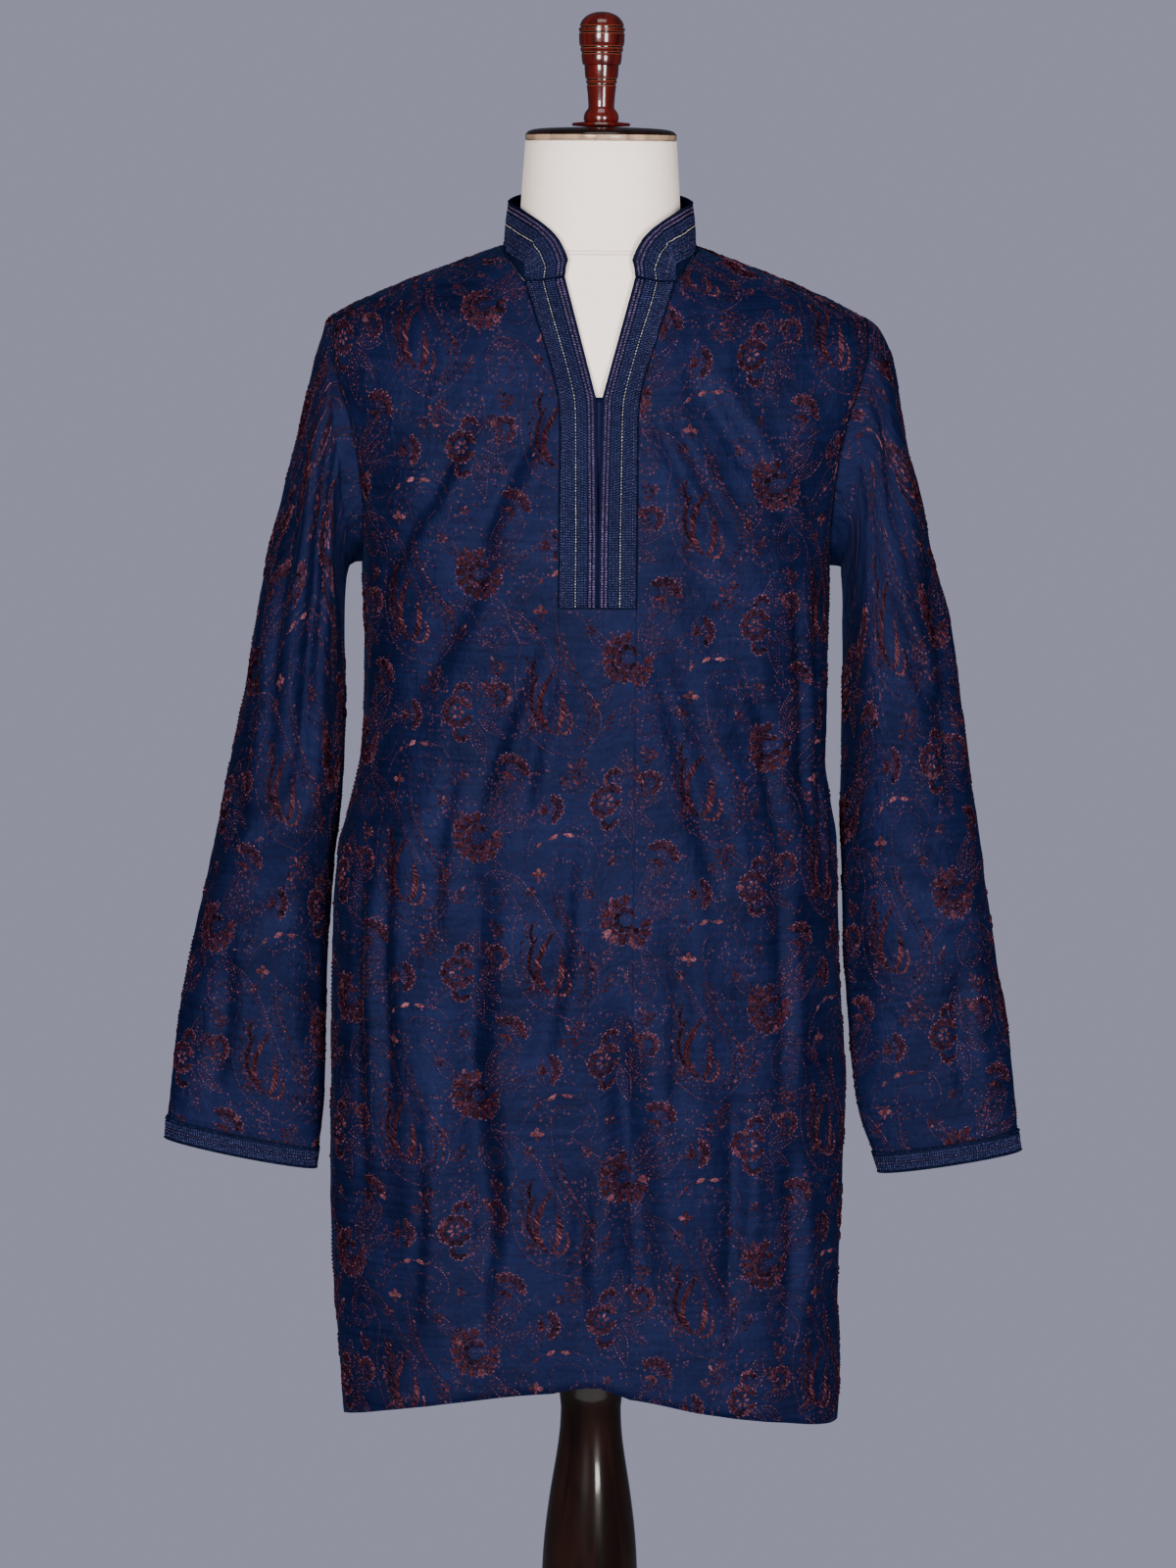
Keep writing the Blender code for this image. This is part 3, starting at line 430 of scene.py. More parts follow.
# %% A panel's points, and their places in the flat cut
SEAM_TUCK, SEAM_TUCK_WIDTH = 0.0011, 0.004  # the cloth dips into its seams


def flat_cut(points, start):
    """Run from the centre along each row, and height up the columns, square to the rows."""
    across = np.linalg.norm(np.diff(points, axis=1), axis=-1)
    run = start[:, None] + np.concatenate([np.zeros((len(points), 1)), np.cumsum(across, axis=1)], axis=1)
    tangent = np.gradient(points, axis=1)
    tangent /= np.maximum(np.linalg.norm(tangent, axis=-1, keepdims=True), 1e-12)
    step = np.diff(points, axis=0)
    step -= (step * tangent[:-1]).sum(axis=-1, keepdims=True) * tangent[:-1]
    rise = np.cumsum(np.linalg.norm(step, axis=-1), axis=0)
    height = points[:1, :, 2] + np.concatenate([np.zeros((1, points.shape[1])), rise], axis=0)
    return np.stack([run, height], axis=-1)


def panel_half(rows, columns, side, back, out=0.0):
    """Points of half a panel, from the centre to its edge, and their places in the flat cut."""
    row, column = np.meshgrid(rows, columns[::-1], indexing="ij")
    angle, z = panel_place(row, column, side, back)
    points = section(angle, z, side, back)
    start = np.zeros(len(rows)) if back else slit_half(z[:, 0])
    flat = flat_cut(points, start)
    flat[..., 0] *= -side if back else side
    name = "back" if back else "front"
    run = side * (np.pi / 2 - angle) * half_width(z, side, back) * 1.05
    lift = fold_height(name, run, z)
    seed = 3.0 if back else 0.0
    loose = crease_height(name, flat) + pucker_height(flat, seed)
    if not back:
        near = np.clip((np.abs(flat[..., 0]) - 0.030) / 0.014, 0, 1)
        band = np.clip((z - BAND_END_Z + 0.012) / 0.012, 0, 1)
        loose *= 1 - band * (1 - near)
    room = np.interp(z, (1.30, 1.36, 1.39), (0.0080, 0.0030, 0.0008))
    loose = np.maximum(loose, -room)
    lift = np.maximum(lift, -room - 0.0015)
    tuck = np.linalg.norm(points - points[:, -1:, :], axis=-1)
    loose = loose * np.clip(tuck / 0.012, 0, 1) - SEAM_TUCK * np.exp(-((tuck / SEAM_TUCK_WIDTH) ** 2))
    normal = outward_normals(points, middle_y(z))
    return points + normal * (lift + loose + out)[..., None], flat


FINE = 6  # steps in each row and column of the solids' grid
rows = np.linspace(0, TOP_ROW, TOP_ROW * FINE + 1)
columns = np.linspace(0, PANEL_COLUMNS, PANEL_COLUMNS * FINE + 1)
halves = {}
for back in (False, True):
    for side in (-1, 1):
        halves[back, side] = panel_half(rows, columns, side, back)
print("points in half a panel:", halves[False, 1][0].shape)

# %% [markdown]
# ## From grids to cloth pieces
#
# A cloth piece is one skin of points with a map of its flat cut, which later places the
# embroidery. The map is kept between 0 and 1 by halving the metres and moving the middle to 0.5.
# Two halves are joined where their centre lines meet, and Solidify gives the skin its wall
# on the inner side, so that the skin itself stays on the outside of the frame's solids.

# %% Helpers that make a mesh of a grid
CUT_SCALE, CUT_MIDDLE = 0.5, 0.5


def plain_object(name, mesh):
    made = bpy.data.objects.new(name, mesh)
    bpy.context.scene.collection.objects.link(made)
    mesh.shade_smooth()
    return made


def cloth_piece(name, patches, merge=0.00004):
    """One skin from patches of points and flat places, with the flat places as its UV map."""
    points, faces, places, first = [], [], [], 0
    for grid, flat in patches:
        high, wide = grid.shape[:2]
        index = first + np.arange(high * wide).reshape(high, wide)
        corners = [index[:-1, :-1], index[:-1, 1:], index[1:, 1:], index[1:, :-1]]
        quads = np.stack(corners, axis=-1).reshape(-1, 4)
        if flat[0, -1, 0] < flat[0, 0, 0]:
            quads = quads[:, ::-1]
        points.append(grid.reshape(-1, 3))
        faces.append(quads)
        places.append(flat.reshape(-1, 2))
        first += high * wide
    points, faces, places = (np.concatenate(part) for part in (points, faces, places))
    mesh = bpy.data.meshes.new(name)
    mesh.from_pydata(points.tolist(), [], faces.tolist())
    cut = mesh.uv_layers.new(name="cut")
    order = np.empty(len(mesh.loops), int)
    mesh.loops.foreach_get("vertex_index", order)
    place = places[order] * CUT_SCALE + (CUT_MIDDLE, 0.0)
    cut.data.foreach_set("uv", place.astype(np.float32).ravel())
    shape = bmesh.new()
    shape.from_mesh(mesh)
    bmesh.ops.remove_doubles(shape, verts=shape.verts, dist=merge)
    shape.to_mesh(mesh)
    shape.free()
    return plain_object(name, mesh)


def add_wall(obj, thickness, outward=False):
    wall = obj.modifiers.new("wall", "SOLIDIFY")
    wall.thickness, wall.offset = thickness, 1.0 if outward else -1.0
    wall.use_even_offset = False
    return obj


def size_of(obj):
    corners = np.array([vertex.co for vertex in obj.data.vertices])
    return np.round(corners.max(axis=0) - corners.min(axis=0), 3)


front = cloth_piece("kurta_front_cloth", [halves[False, -1], halves[False, 1]])
back = cloth_piece("kurta_back_cloth", [halves[True, -1], halves[True, 1]])
print("front:", size_of(front), "back:", size_of(back))

# %% [markdown]
# ## Sleeves
#
# Each sleeve is a tube whose rings follow a table: an outer and an inner point, a half-depth and
# the middle. The first ring is the armhole itself, taken from the edges of the front and the back,
# so no gap opens at the seam. The flat cut of a sleeve is measured up from the cuff.

# %% Tables of the sleeves: outer x and z, inner x and z, half-depth, middle y
SLEEVE_LEFT = (
    (0.2200, 1.3955, 0.1960, 1.1995, 0.065, 0.006),
    (0.2237, 1.383, 0.1985, 1.1985, 0.064, 0.004),
    (0.2308, 1.360, 0.2020, 1.1955, 0.066, 0.005),
    (0.2383, 1.327, 0.2045, 1.1860, 0.068, 0.006),
    (0.2458, 1.293, 0.2055, 1.1690, 0.069, 0.007),
    (0.2560, 1.250, 0.2058, 1.1400, 0.069, 0.009),
    (0.2665, 1.210, 0.2055, 1.1060, 0.068, 0.010),
    (0.2790, 1.150, 0.2060, 1.0580, 0.064, 0.012),
    (0.2888, 1.087, 0.2080, 1.0050, 0.058, 0.013),
    (0.3033, 1.016, 0.2150, 0.9450, 0.050, 0.014),
    (0.3157, 0.953, 0.2190, 0.8880, 0.043, 0.014),
    (0.3283, 0.888, 0.2205, 0.8300, 0.036, 0.013),
    (0.3380, 0.841, 0.2210, 0.7880, 0.031, 0.012),
    (0.3455, 0.790, 0.2225, 0.7480, 0.026, 0.010),
    (0.3508, 0.741, 0.2265, 0.7155, 0.021, 0.008),
    (0.3520, 0.722, 0.2290, 0.6980, 0.019, 0.007),
)
SLEEVE_RIGHT = (
    (0.2210, 1.3965, 0.1955, 1.1990, 0.065, 0.006),
    (0.2275, 1.388, 0.1985, 1.1970, 0.064, 0.004),
    (0.2375, 1.365, 0.1990, 1.1900, 0.066, 0.004),
    (0.2435, 1.330, 0.1995, 1.1780, 0.068, 0.004),
    (0.2510, 1.293, 0.2000, 1.1600, 0.069, 0.005),
    (0.2625, 1.250, 0.2002, 1.1330, 0.069, 0.005),
    (0.2730, 1.203, 0.2002, 1.1000, 0.068, 0.006),
    (0.2868, 1.150, 0.2004, 1.0550, 0.064, 0.006),
    (0.2965, 1.090, 0.2008, 1.0050, 0.058, 0.006),
    (0.3085, 1.020, 0.2020, 0.9450, 0.050, 0.006),
    (0.3190, 0.955, 0.2040, 0.8880, 0.043, 0.005),
    (0.3275, 0.892, 0.2085, 0.8300, 0.036, 0.004),
    (0.3375, 0.838, 0.2125, 0.7880, 0.031, 0.004),
    (0.3440, 0.788, 0.2190, 0.7480, 0.026, 0.003),
    (0.3495, 0.736, 0.2305, 0.7165, 0.021, 0.003),
    (0.3520, 0.718, 0.2365, 0.6990, 0.019, 0.003),
)
# angle from the outer line towards the front, start and end row, width, height
SLEEVE_FOLDS = (
    (55, 2, 9, 24, 0.0050),
    (100, 3, 8, 20, -0.0045),
    (150, 6, 13, 22, -0.0040),
    (-70, 3, 10, 24, 0.0045),
    (-120, 5, 11, 22, -0.0045),
    (20, 8, 14, 20, -0.0030),
)
CUFF_Z = 0.720  # where the flat cut of a sleeve starts
SLEEVE_STEPS = 6  # rings for each row of the table
print("rings of a sleeve:", len(SLEEVE_LEFT) * SLEEVE_STEPS + 1)


# %% Rings from the armhole to the cuff
def sleeve_fold(turn, row):
    total = 0.0 * turn
    for place, start, end, width, height in SLEEVE_FOLDS:
        off = (np.degrees(turn) - place + 180) % 360 - 180
        ends = math.sin(math.pi * min(max((row - start + 1) / (end - start + 2), 0), 1))
        total = total + height * ends * np.exp(-2 * (off / width) ** 2)
    return total


def armhole_ring(side):
    """Edge points of the panels: from the shoulder tip down the front, then up the back."""
    low, high = SKIRT_ROWS * FINE, TIP_ROW * FINE
    down = halves[False, side][0][low : high + 1, -1][::-1]
    up = halves[True, side][0][low : high + 1, -1]
    return np.concatenate([down, up[1:-1]])


def between_rings(rings, steps):
    """Rings on a smooth curve through the given ones."""
    before = np.concatenate([2 * rings[:1] - rings[1:2], rings[:-1]])
    after = np.concatenate([rings[1:], 2 * rings[-1:] - rings[-2:-1]])
    slope = (after - before) / 2
    result = []
    for a, b, start, end in zip(rings, rings[1:], slope, slope[1:]):
        for t in np.linspace(0, 1, steps, endpoint=False):
            rise = b - a
            result.append(a + t * start + t**2 * (3 * rise - 2 * start - end) + t**3 * (start + end - 2 * rise))
    return np.array(result + [rings[-1]])


def evenly_spaced(ring):
    """The ring's points spread evenly from its outer line to the underarm, on each side."""
    count = len(ring)
    halves_of = []
    for part in (ring[: count // 2 + 1], np.concatenate([ring[count // 2 :], ring[:1]])):
        run = np.concatenate([[0.0], np.cumsum(np.linalg.norm(np.diff(part, axis=0), axis=1))])
        at = np.linspace(0, run[-1], len(part))
        halves_of.append(np.stack([np.interp(at, run, part[:, axis]) for axis in range(3)], axis=-1)[:-1])
    return np.concatenate(halves_of)


def sleeve_grid(side, table, name, seed):
    first = armhole_ring(side)
    count = len(first)
    turn = 2 * np.pi * np.arange(count) / count
    rings = [first]
    for number, (outer_x, outer_z, inner_x, inner_z, depth, y) in enumerate(table, start=1):
        centre = np.array((side * (outer_x + inner_x) / 2, y, (outer_z + inner_z) / 2))
        half = np.array((side * (outer_x - inner_x) / 2, 0, (outer_z - inner_z) / 2))
        across, deep = np.cos(turn)[:, None], -np.sin(turn)[:, None]
        out = half / np.linalg.norm(half) * across + deep * np.array((0, 1, 0))
        lift = sleeve_fold(turn, number)[:, None]
        rings.append(centre + half * across + deep * np.array((0, depth, 0)) + out * lift)
    rings = np.array([evenly_spaced(ring) for ring in rings])
    rings = between_rings(rings, SLEEVE_STEPS)[::-1]
    order = np.arange(count + 1) - count // 2
    points = rings[:, order % count]
    across = np.linalg.norm(np.diff(points, axis=1), axis=-1)
    run = np.concatenate([np.zeros((len(points), 1)), np.cumsum(across, axis=1)], axis=1)
    run -= run[:, count // 2 : count // 2 + 1]
    flat = flat_cut(points, run[:, 0])
    flat[..., 1] += CUFF_Z - points[:1, :, 2]
    flat[..., 0] *= -side
    middle = points.mean(axis=1)[:, None, :]
    normal = np.cross(np.gradient(points, axis=1), np.gradient(points, axis=0))
    normal /= np.maximum(np.linalg.norm(normal, axis=-1, keepdims=True), 1e-12)
    normal *= np.sign((normal * (points - middle)).sum(axis=-1, keepdims=True))
    normal[:, 0] = normal[:, -1] = (normal[:, 0] + normal[:, -1]) / 2
    loose = crease_height(name, flat) + pucker_height(flat, seed)
    around = np.abs(flat[..., 0]) / np.abs(flat[:, -1:, 0])
    loose *= np.clip((1 - around) / 0.06, 0, 1)
    tuck = np.linalg.norm(points - points[-1:], axis=-1)
    loose = loose * np.clip(tuck / 0.012, 0, 1)
    cuff = np.clip((flat[..., 1] - CUFF_Z - 0.018) / 0.012, 0, 1)
    return points + normal * (loose * cuff)[..., None], flat


sleeves = {}
for side, word, table, seed in ((-1, "left", SLEEVE_LEFT, 11.0), (1, "right", SLEEVE_RIGHT, 17.0)):
    sleeves[side] = sleeve_grid(side, table, "sleeve_" + word, seed)
left_sleeve = cloth_piece("sleeve_left_cloth", [sleeves[-1]])
right_sleeve = cloth_piece("sleeve_right_cloth", [sleeves[1]])
print("left sleeve:", size_of(left_sleeve), "right sleeve:", size_of(right_sleeve))

# %% [markdown]
# ## Collar, placket bands, cuffs and underlap
#
# These are stiffened strips, so they have no folds of their own. The bands and cuffs lie on the
# cloth, and their points are the cloth's own points moved out. The collar stands from the
# neckline to a top edge that rounds down at the front, and its wall is thicker.

# %% Table of the collar's top edge: plan angle from the side towards the front, height
COLLAR_TOP = (
    (-90, 1.5040),
    (-60, 1.5020),
    (-37, 1.4985),
    (0, 1.4920),
    (24, 1.4880),
    (36, 1.4835),
    (51, 1.4750),
    (62, 1.4645),
    (67, 1.4550),
    (71, 1.4430),
)
COLLAR_TOP_HALF, COLLAR_TOP_FRONT, COLLAR_TOP_BACK = 0.0738, 0.0765, 0.0690
COLLAR_WALL, BAND_WALL, TOUCH = 0.0020, 0.0011, 0.0003
BAND_WIDTH = 0.031  # of the placket bands, cut flat
COLLAR_ROWS = 14
print("collar front rises to", COLLAR_TOP[-1][1], "and its back to", COLLAR_TOP[0][1])


# %% Points of the collar, the bands and the cuffs
def moved_out(points, distance):
    """The grid's points along its own outward normal, which is up times right."""
    normal = np.cross(np.gradient(points, axis=1), np.gradient(points, axis=0))
    return points + distance * normal / np.maximum(np.linalg.norm(normal, axis=-1, keepdims=True), 1e-12)


def collar_grid():
    ends = [halves[False, -1][0][-1], halves[True, -1][0][-1][::-1]]
    ends += [halves[True, 1][0][-1], halves[False, 1][0][-1][::-1]]
    foot = np.concatenate([end[:-1] for end in ends] + [ends[-1][-1:]])[::2]
    towards_front = np.arctan2(SEAM_Y - foot[:, 1], np.abs(foot[:, 0]))
    reach = np.where(towards_front > 0, COLLAR_TOP_FRONT, COLLAR_TOP_BACK)
    top = np.stack(
        [
            np.sign(foot[:, 0]) * COLLAR_TOP_HALF * np.cos(towards_front),
            SEAM_Y - reach * np.sin(towards_front),
            smooth(COLLAR_TOP, np.degrees(towards_front), 1),
        ],
        axis=-1,
    )
    start = foot + (0, 0, 2 * TOUCH)
    share = np.linspace(0, 1, COLLAR_ROWS + 1)[:, None, None]
    points = mix(start, top, share)
    belly = np.sin(np.pi * share) * 0.0012
    away = points - np.array((0, SEAM_Y, 0))
    away[..., 2] = 0
    points = points + belly * away / np.linalg.norm(away, axis=-1, keepdims=True)
    step = np.linalg.norm(np.diff(start, axis=0), axis=-1)
    run = np.concatenate([[0.0], np.cumsum(step)])
    run -= run[-1] / 2
    height = np.linalg.norm(points - start, axis=-1)
    flat = np.stack([np.broadcast_to(run, height.shape), height], axis=-1)
    return points[:, ::-1], flat[:, ::-1] * (-1, 1)


def band_grid(side):
    low, wide = (SKIRT_ROWS - 1) * FINE, BAND_COLUMNS * FINE + 1
    points, flat = (part[low:, :wide] for part in halves[False, side])
    across = np.broadcast_to(np.linspace(0, side * BAND_WIDTH, wide), flat.shape[:2])
    along = np.broadcast_to(flat[:, wide // 2 : wide // 2 + 1, 1], flat.shape[:2])
    flat = np.stack([across, along], axis=-1)
    if side < 0:
        points, flat = points[:, ::-1], flat[:, ::-1]
    return moved_out(points, TOUCH), flat


def cuff_grid(side):
    points, flat = (part[: SLEEVE_STEPS + 1] for part in sleeves[side])
    if flat[0, -1, 0] < flat[0, 0, 0]:
        points, flat = points[:, ::-1], flat[:, ::-1]
    return moved_out(points, TOUCH), flat


def underlap_grid():
    rows, columns = np.linspace(BAND_END_Z + 0.004, 1.3395, 30), np.linspace(-0.012, 0.012, 13)
    z, x = np.meshgrid(rows, columns, indexing="ij")
    points = np.zeros((*z.shape, 3))
    for side in (-1, 1):
        here = np.sign(x + 1e-9) == side
        angle = angle_at(np.abs(x), z, side, False)
        points[here] = section(angle, z, side, False)[here]
    return moved_out(points, -0.0016 - 3 * TOUCH), np.stack([x, z], axis=-1)


collar_flat = collar_grid()
collar = cloth_piece("collar_stand", [collar_flat])
bands = {side: cloth_piece("placket_" + word, [band_grid(side)]) for side, word in ((-1, "left"), (1, "right"))}
cuffs = {side: cloth_piece("cuff_" + word + "_band", [cuff_grid(side)]) for side, word in ((-1, "left"), (1, "right"))}
underlap = cloth_piece("underlap_strip", [underlap_grid()])
print("collar:", size_of(collar), "left cuff:", size_of(cuffs[-1]))

# %% [markdown]
# ## The dress form and its stand
#
# The torso is a closed padded body: rings of squared ellipses, drawn on a smooth curve from one
# to the next. The shoulders keep a small distance below the cloth that rests on them. Finial,
# neck cap, column and base are turned wood. Turned work is a half outline spun round its axis,
# which the Screw modifier does, and the outline's short steps give the grooves crisp edges.

# %% Tables of the torso: height, half-width, front depth, back depth
TORSO = (
    (0.640, 0.120, 0.070, 0.070),
    (0.646, 0.148, 0.085, 0.085),
    (0.665, 0.163, 0.093, 0.093),
    (0.740, 0.176, 0.099, 0.100),
    (0.850, 0.180, 0.100, 0.102),
    (0.950, 0.168, 0.099, 0.097),
    (1.050, 0.157, 0.101, 0.092),
    (1.150, 0.165, 0.109, 0.099),
    (1.230, 0.175, 0.113, 0.105),
    (1.290, 0.185, 0.110, 0.107),
    (1.340, 0.193, 0.105, 0.105),
    (1.370, 0.198, 0.0985, 0.100),
)
NECK = (
    (1.4555, 0.0715, 0.0665, 0.0690),
    (1.4640, 0.0672, 0.0640, 0.0655),
    (1.4780, 0.0650, 0.0630, 0.0640),
    (1.5000, 0.0636, 0.0625, 0.0625),
    (1.5400, 0.0610, 0.0605, 0.0605),
)
SHOULDER_HALVES = (0.196, 0.190, 0.178, 0.160, 0.140, 0.120, 0.100, 0.086)
CLOTH_LIFT, SHOULDER_ROUND_X, SHOULDER_ROUND_DROP, FORM_HALF = 0.0042, 0.150, 0.013, 0.198
FORM_INSET = 0.0042
TORSO_STEPS, TORSO_TURNS = 4, 128
print("rings given for the torso:", len(TORSO) + len(SHOULDER_HALVES) + len(NECK))


# %% The padded torso
def torso_grid():
    sections = [tuple(row) + (0.82,) for row in TORSO]
    for half in SHOULDER_HALVES:
        over = max(0.0, half - SHOULDER_ROUND_X) / (FORM_HALF - SHOULDER_ROUND_X)
        z = float(shoulder_z(half)) - CLOTH_LIFT - SHOULDER_ROUND_DROP * over**2
        lift = z + CLOTH_LIFT
        depths = [float(smooth(BODY, lift, column)) - FORM_INSET for column in (3, 4)]
        sections.append((z, half, *depths, float(smooth(BODY, lift, 5))))
    sections += [tuple(row) + (1.0,) for row in NECK]
    numbered = [(number, *row) for number, row in enumerate(sections)]
    at = np.linspace(0, len(sections) - 1, (len(sections) - 1) * TORSO_STEPS + 1)
    z, half, front_depth, back_depth, power = (smooth(numbered, at, column)[:, None] for column in range(1, 6))
    turn = 2 * np.pi * np.arange(TORSO_TURNS) / TORSO_TURNS
    across, deep = np.cos(turn), np.sin(turn)
    x = np.sign(across) * np.abs(across) ** power * half
    depth = np.where(deep > 0, back_depth, front_depth)
    y = middle_y(z) + np.sign(deep) * np.abs(deep) ** power * depth
    return np.stack([x, y, z + 0 * x], axis=-1)


def ringed_body(name, rings):
    """A closed body through rings, with a flat face at each end."""
    high, wide = rings.shape[:2]
    index = np.arange(high * wide).reshape(high, wide)
    turned_on = np.roll(index, -1, axis=1)
    corners = [index[:-1], turned_on[:-1], turned_on[1:], index[1:]]
    faces = np.stack(corners, axis=-1).reshape(-1, 4).tolist()
    faces += [index[0, ::-1].tolist(), index[-1].tolist()]
    mesh = bpy.data.meshes.new(name)
    mesh.from_pydata(rings.reshape(-1, 3).tolist(), [], faces)
    made = plain_object(name, mesh)
    mesh.set_sharp_from_angle(angle=math.radians(60))
    return made


torso = ringed_body("torso_linen", torso_grid())
print("torso:", size_of(torso))

# %% Outlines of the turned pieces: radius and height from top to bottom
FINIAL = (
    (0.0000, 1.6430),
    (0.0045, 1.6427),
    (0.0080, 1.6418),
    (0.0112, 1.6404),
    (0.0140, 1.6384),
    (0.0162, 1.6358),
    (0.0175, 1.6330),
    (0.0178, 1.6318),
    (0.0171, 1.6313),
    (0.0171, 1.6306),
    (0.0184, 1.6300),
    (0.0186, 1.6278),
    (0.0177, 1.6270),
    (0.0177, 1.6262),
    (0.0184, 1.6254),
    (0.0182, 1.6190),
    (0.0177, 1.6160),
    (0.0169, 1.6153),
    (0.0168, 1.6144),
    (0.0173, 1.6136),
    (0.0168, 1.6112),
    (0.0160, 1.6106),
    (0.0160, 1.6098),
    (0.0164, 1.6090),
    (0.0158, 1.6035),
    (0.0153, 1.6012),
    (0.0138, 1.6004),
    (0.0137, 1.5980),
    (0.0134, 1.5930),
    (0.0129, 1.5900),
    (0.0121, 1.5895),
    (0.0120, 1.5884),
    (0.0125, 1.5878),
    (0.0122, 1.5862),
    (0.0114, 1.5856),
    (0.0114, 1.5846),
    (0.0119, 1.5840),
    (0.0112, 1.5790),
    (0.0107, 1.5730),
    (0.0104, 1.5680),
    (0.0106, 1.5660),
    (0.0120, 1.5644),
    (0.0134, 1.5622),
    (0.0141, 1.5594),
    (0.0141, 1.5572),
    (0.0134, 1.5556),
    (0.0180, 1.5550),
    (0.0228, 1.5546),
    (0.0236, 1.5533),
    (0.0230, 1.5521),
    (0.0130, 1.5514),
    (0.0000, 1.5514),
)
NECK_CAP = (
    (0.0000, 1.5511),
    (0.0180, 1.5511),
    (0.0300, 1.5509),
    (0.0400, 1.5505),
    (0.0480, 1.5500),
    (0.0530, 1.5494),
    (0.0565, 1.5486),
    (0.0588, 1.5476),
    (0.0600, 1.5463),
    (0.0609, 1.5450),
    (0.0610, 1.5430),
    (0.0608, 1.5415),
    (0.0602, 1.5406),
    (0.0590, 1.5403),
    (0.0000, 1.5403),
)
COLUMN = (
    (0.0000, 0.6397),
    (0.0560, 0.6397),
    (0.0578, 0.6370),
    (0.0580, 0.6300),
    (0.0500, 0.6120),
    (0.0390, 0.5900),
    (0.0320, 0.5600),
    (0.0280, 0.5300),
    (0.0262, 0.5130),
    (0.0248, 0.5000),
    (0.0255, 0.4820),
    (0.0285, 0.4580),
    (0.0322, 0.4350),
    (0.0350, 0.4150),
    (0.0378, 0.3900),
    (0.0395, 0.3620),
    (0.0400, 0.3300),
    (0.0380, 0.2850),
    (0.0330, 0.2300),
    (0.0275, 0.1750),
    (0.0240, 0.1300),
    (0.0235, 0.1080),
    (0.0300, 0.0980),
    (0.0350, 0.0880),
    (0.0350, 0.0780),
    (0.0300, 0.0690),
    (0.0300, 0.0553),
    (0.0000, 0.0553),
)
BASE = (
    (0.0000, 0.0550),
    (0.0420, 0.0550),
    (0.0460, 0.0530),
    (0.0600, 0.0440),
    (0.1000, 0.0360),
    (0.1500, 0.0290),
    (0.1800, 0.0250),
    (0.1900, 0.0210),
    (0.1950, 0.0140),
    (0.1950, 0.0040),
    (0.1920, 0.0000),
    (0.0000, 0.0000),
)
TURNED_STEPS = 96
print("points in the finial's outline:", len(FINIAL))


# %% Spinning an outline
def soft_outline(profile, spacing):
    """More points on the long runs of an outline, so that they turn smoothly."""
    numbered = [(number, *row) for number, row in enumerate(profile)]
    at = [0.0]
    for number, (a, b) in enumerate(zip(profile, profile[1:])):
        steps = max(1, round(math.dist(a, b) / spacing))
        at += [number + step / steps for step in range(1, steps + 1)]
    return np.stack([smooth(numbered, np.array(at), column) for column in (1, 2)], axis=-1)


def turned(name, profile, spacing=0.012):
    outline = soft_outline(profile, spacing)
    mesh = bpy.data.meshes.new(name)
    mesh.from_pydata([(radius, 0.0, z) for radius, z in outline], [(i, i + 1) for i in range(len(outline) - 1)], [])
    made = plain_object(name, mesh)
    screw = made.modifiers.new("turn", "SCREW")
    screw.steps = screw.render_steps = TURNED_STEPS
    screw.use_merge_vertices, screw.merge_threshold = True, 0.00003
    screw.use_smooth_shade = True
    graph = bpy.context.evaluated_depsgraph_get()
    solid = bpy.data.meshes.new_from_object(made.evaluated_get(graph))
    made.modifiers.clear()
    made.data = solid
    solid.set_sharp_from_angle(angle=math.radians(42))
    return made


finial, neck_cap = turned("finial_turned", FINIAL), turned("neck_cap_turned", NECK_CAP)
column, base = turned("column_turned", COLUMN), turned("base_turned", BASE)
print("finial:", size_of(finial), "column:", size_of(column))

# %% [markdown]
# The cloth's deepest creases would reach into the form. Where they do, the cloth lies on the
# form instead: each point that is too near is moved out along the form's own direction there.

# %% Keep the cloth clear of the form
CLEAR = 0.0014  # the cloth's wall is half of this
form = BVHTree.FromObject(torso, bpy.context.evaluated_depsgraph_get())
for piece in (front, back, left_sleeve, right_sleeve):
    moved = []
    for vertex in piece.data.vertices:
        place, direction, _, _ = form.find_nearest(vertex.co, 0.02)
        if place is None:
            continue
        gap = (vertex.co - place).dot(direction)
        if gap < CLEAR:
            vertex.co += direction * (CLEAR - gap)
            moved.append(CLEAR - gap)
    print(piece.name, "points moved:", len(moved), "at most", round(1000 * max(moved, default=0), 2), "mm")

# %% [markdown]
# ## Finishes
#
# Each finish is a small tree of shader nodes. A pattern that follows the cloth reads the flat
# cut, so it bends with the cloth. One on wood reads the object's own coordinates. Weave and
# unevenness in patches are needed by more than one finish, so they are node groups that give out a
# height or a mask. Numbers that are the same all over stay on the shader's own sockets.

# %% Helpers for node trees
def put(tree, kind, feeds=(), **settings):
    """A new node, with its settings, and its inputs set to values or linked to other sockets."""
    made = tree.nodes.new(kind)
    for name, value in settings.items():
        setattr(made, name, value)
    for place, value in dict(feeds).items():
        if isinstance(value, bpy.types.NodeSocket):
            tree.links.new(value, made.inputs[place])
        else:
            made.inputs[place].default_value = value
    return made


def sum_of(tree, operation, a, b, c=0.0):
    return put(tree, "ShaderNodeMath", {0: a, 1: b, 2: c}, operation=operation).outputs[0]


def group_of(name, inputs, outputs):
    tree = bpy.data.node_groups.new(name, "ShaderNodeTree")
    for label, kind in inputs:
        tree.interface.new_socket(name=label, in_out="INPUT", socket_type=kind)
    for label in outputs:
        tree.interface.new_socket(name=label, in_out="OUTPUT", socket_type="NodeSocketFloat")
    return tree, tree.nodes.new("NodeGroupInput"), tree.nodes.new("NodeGroupOutput")


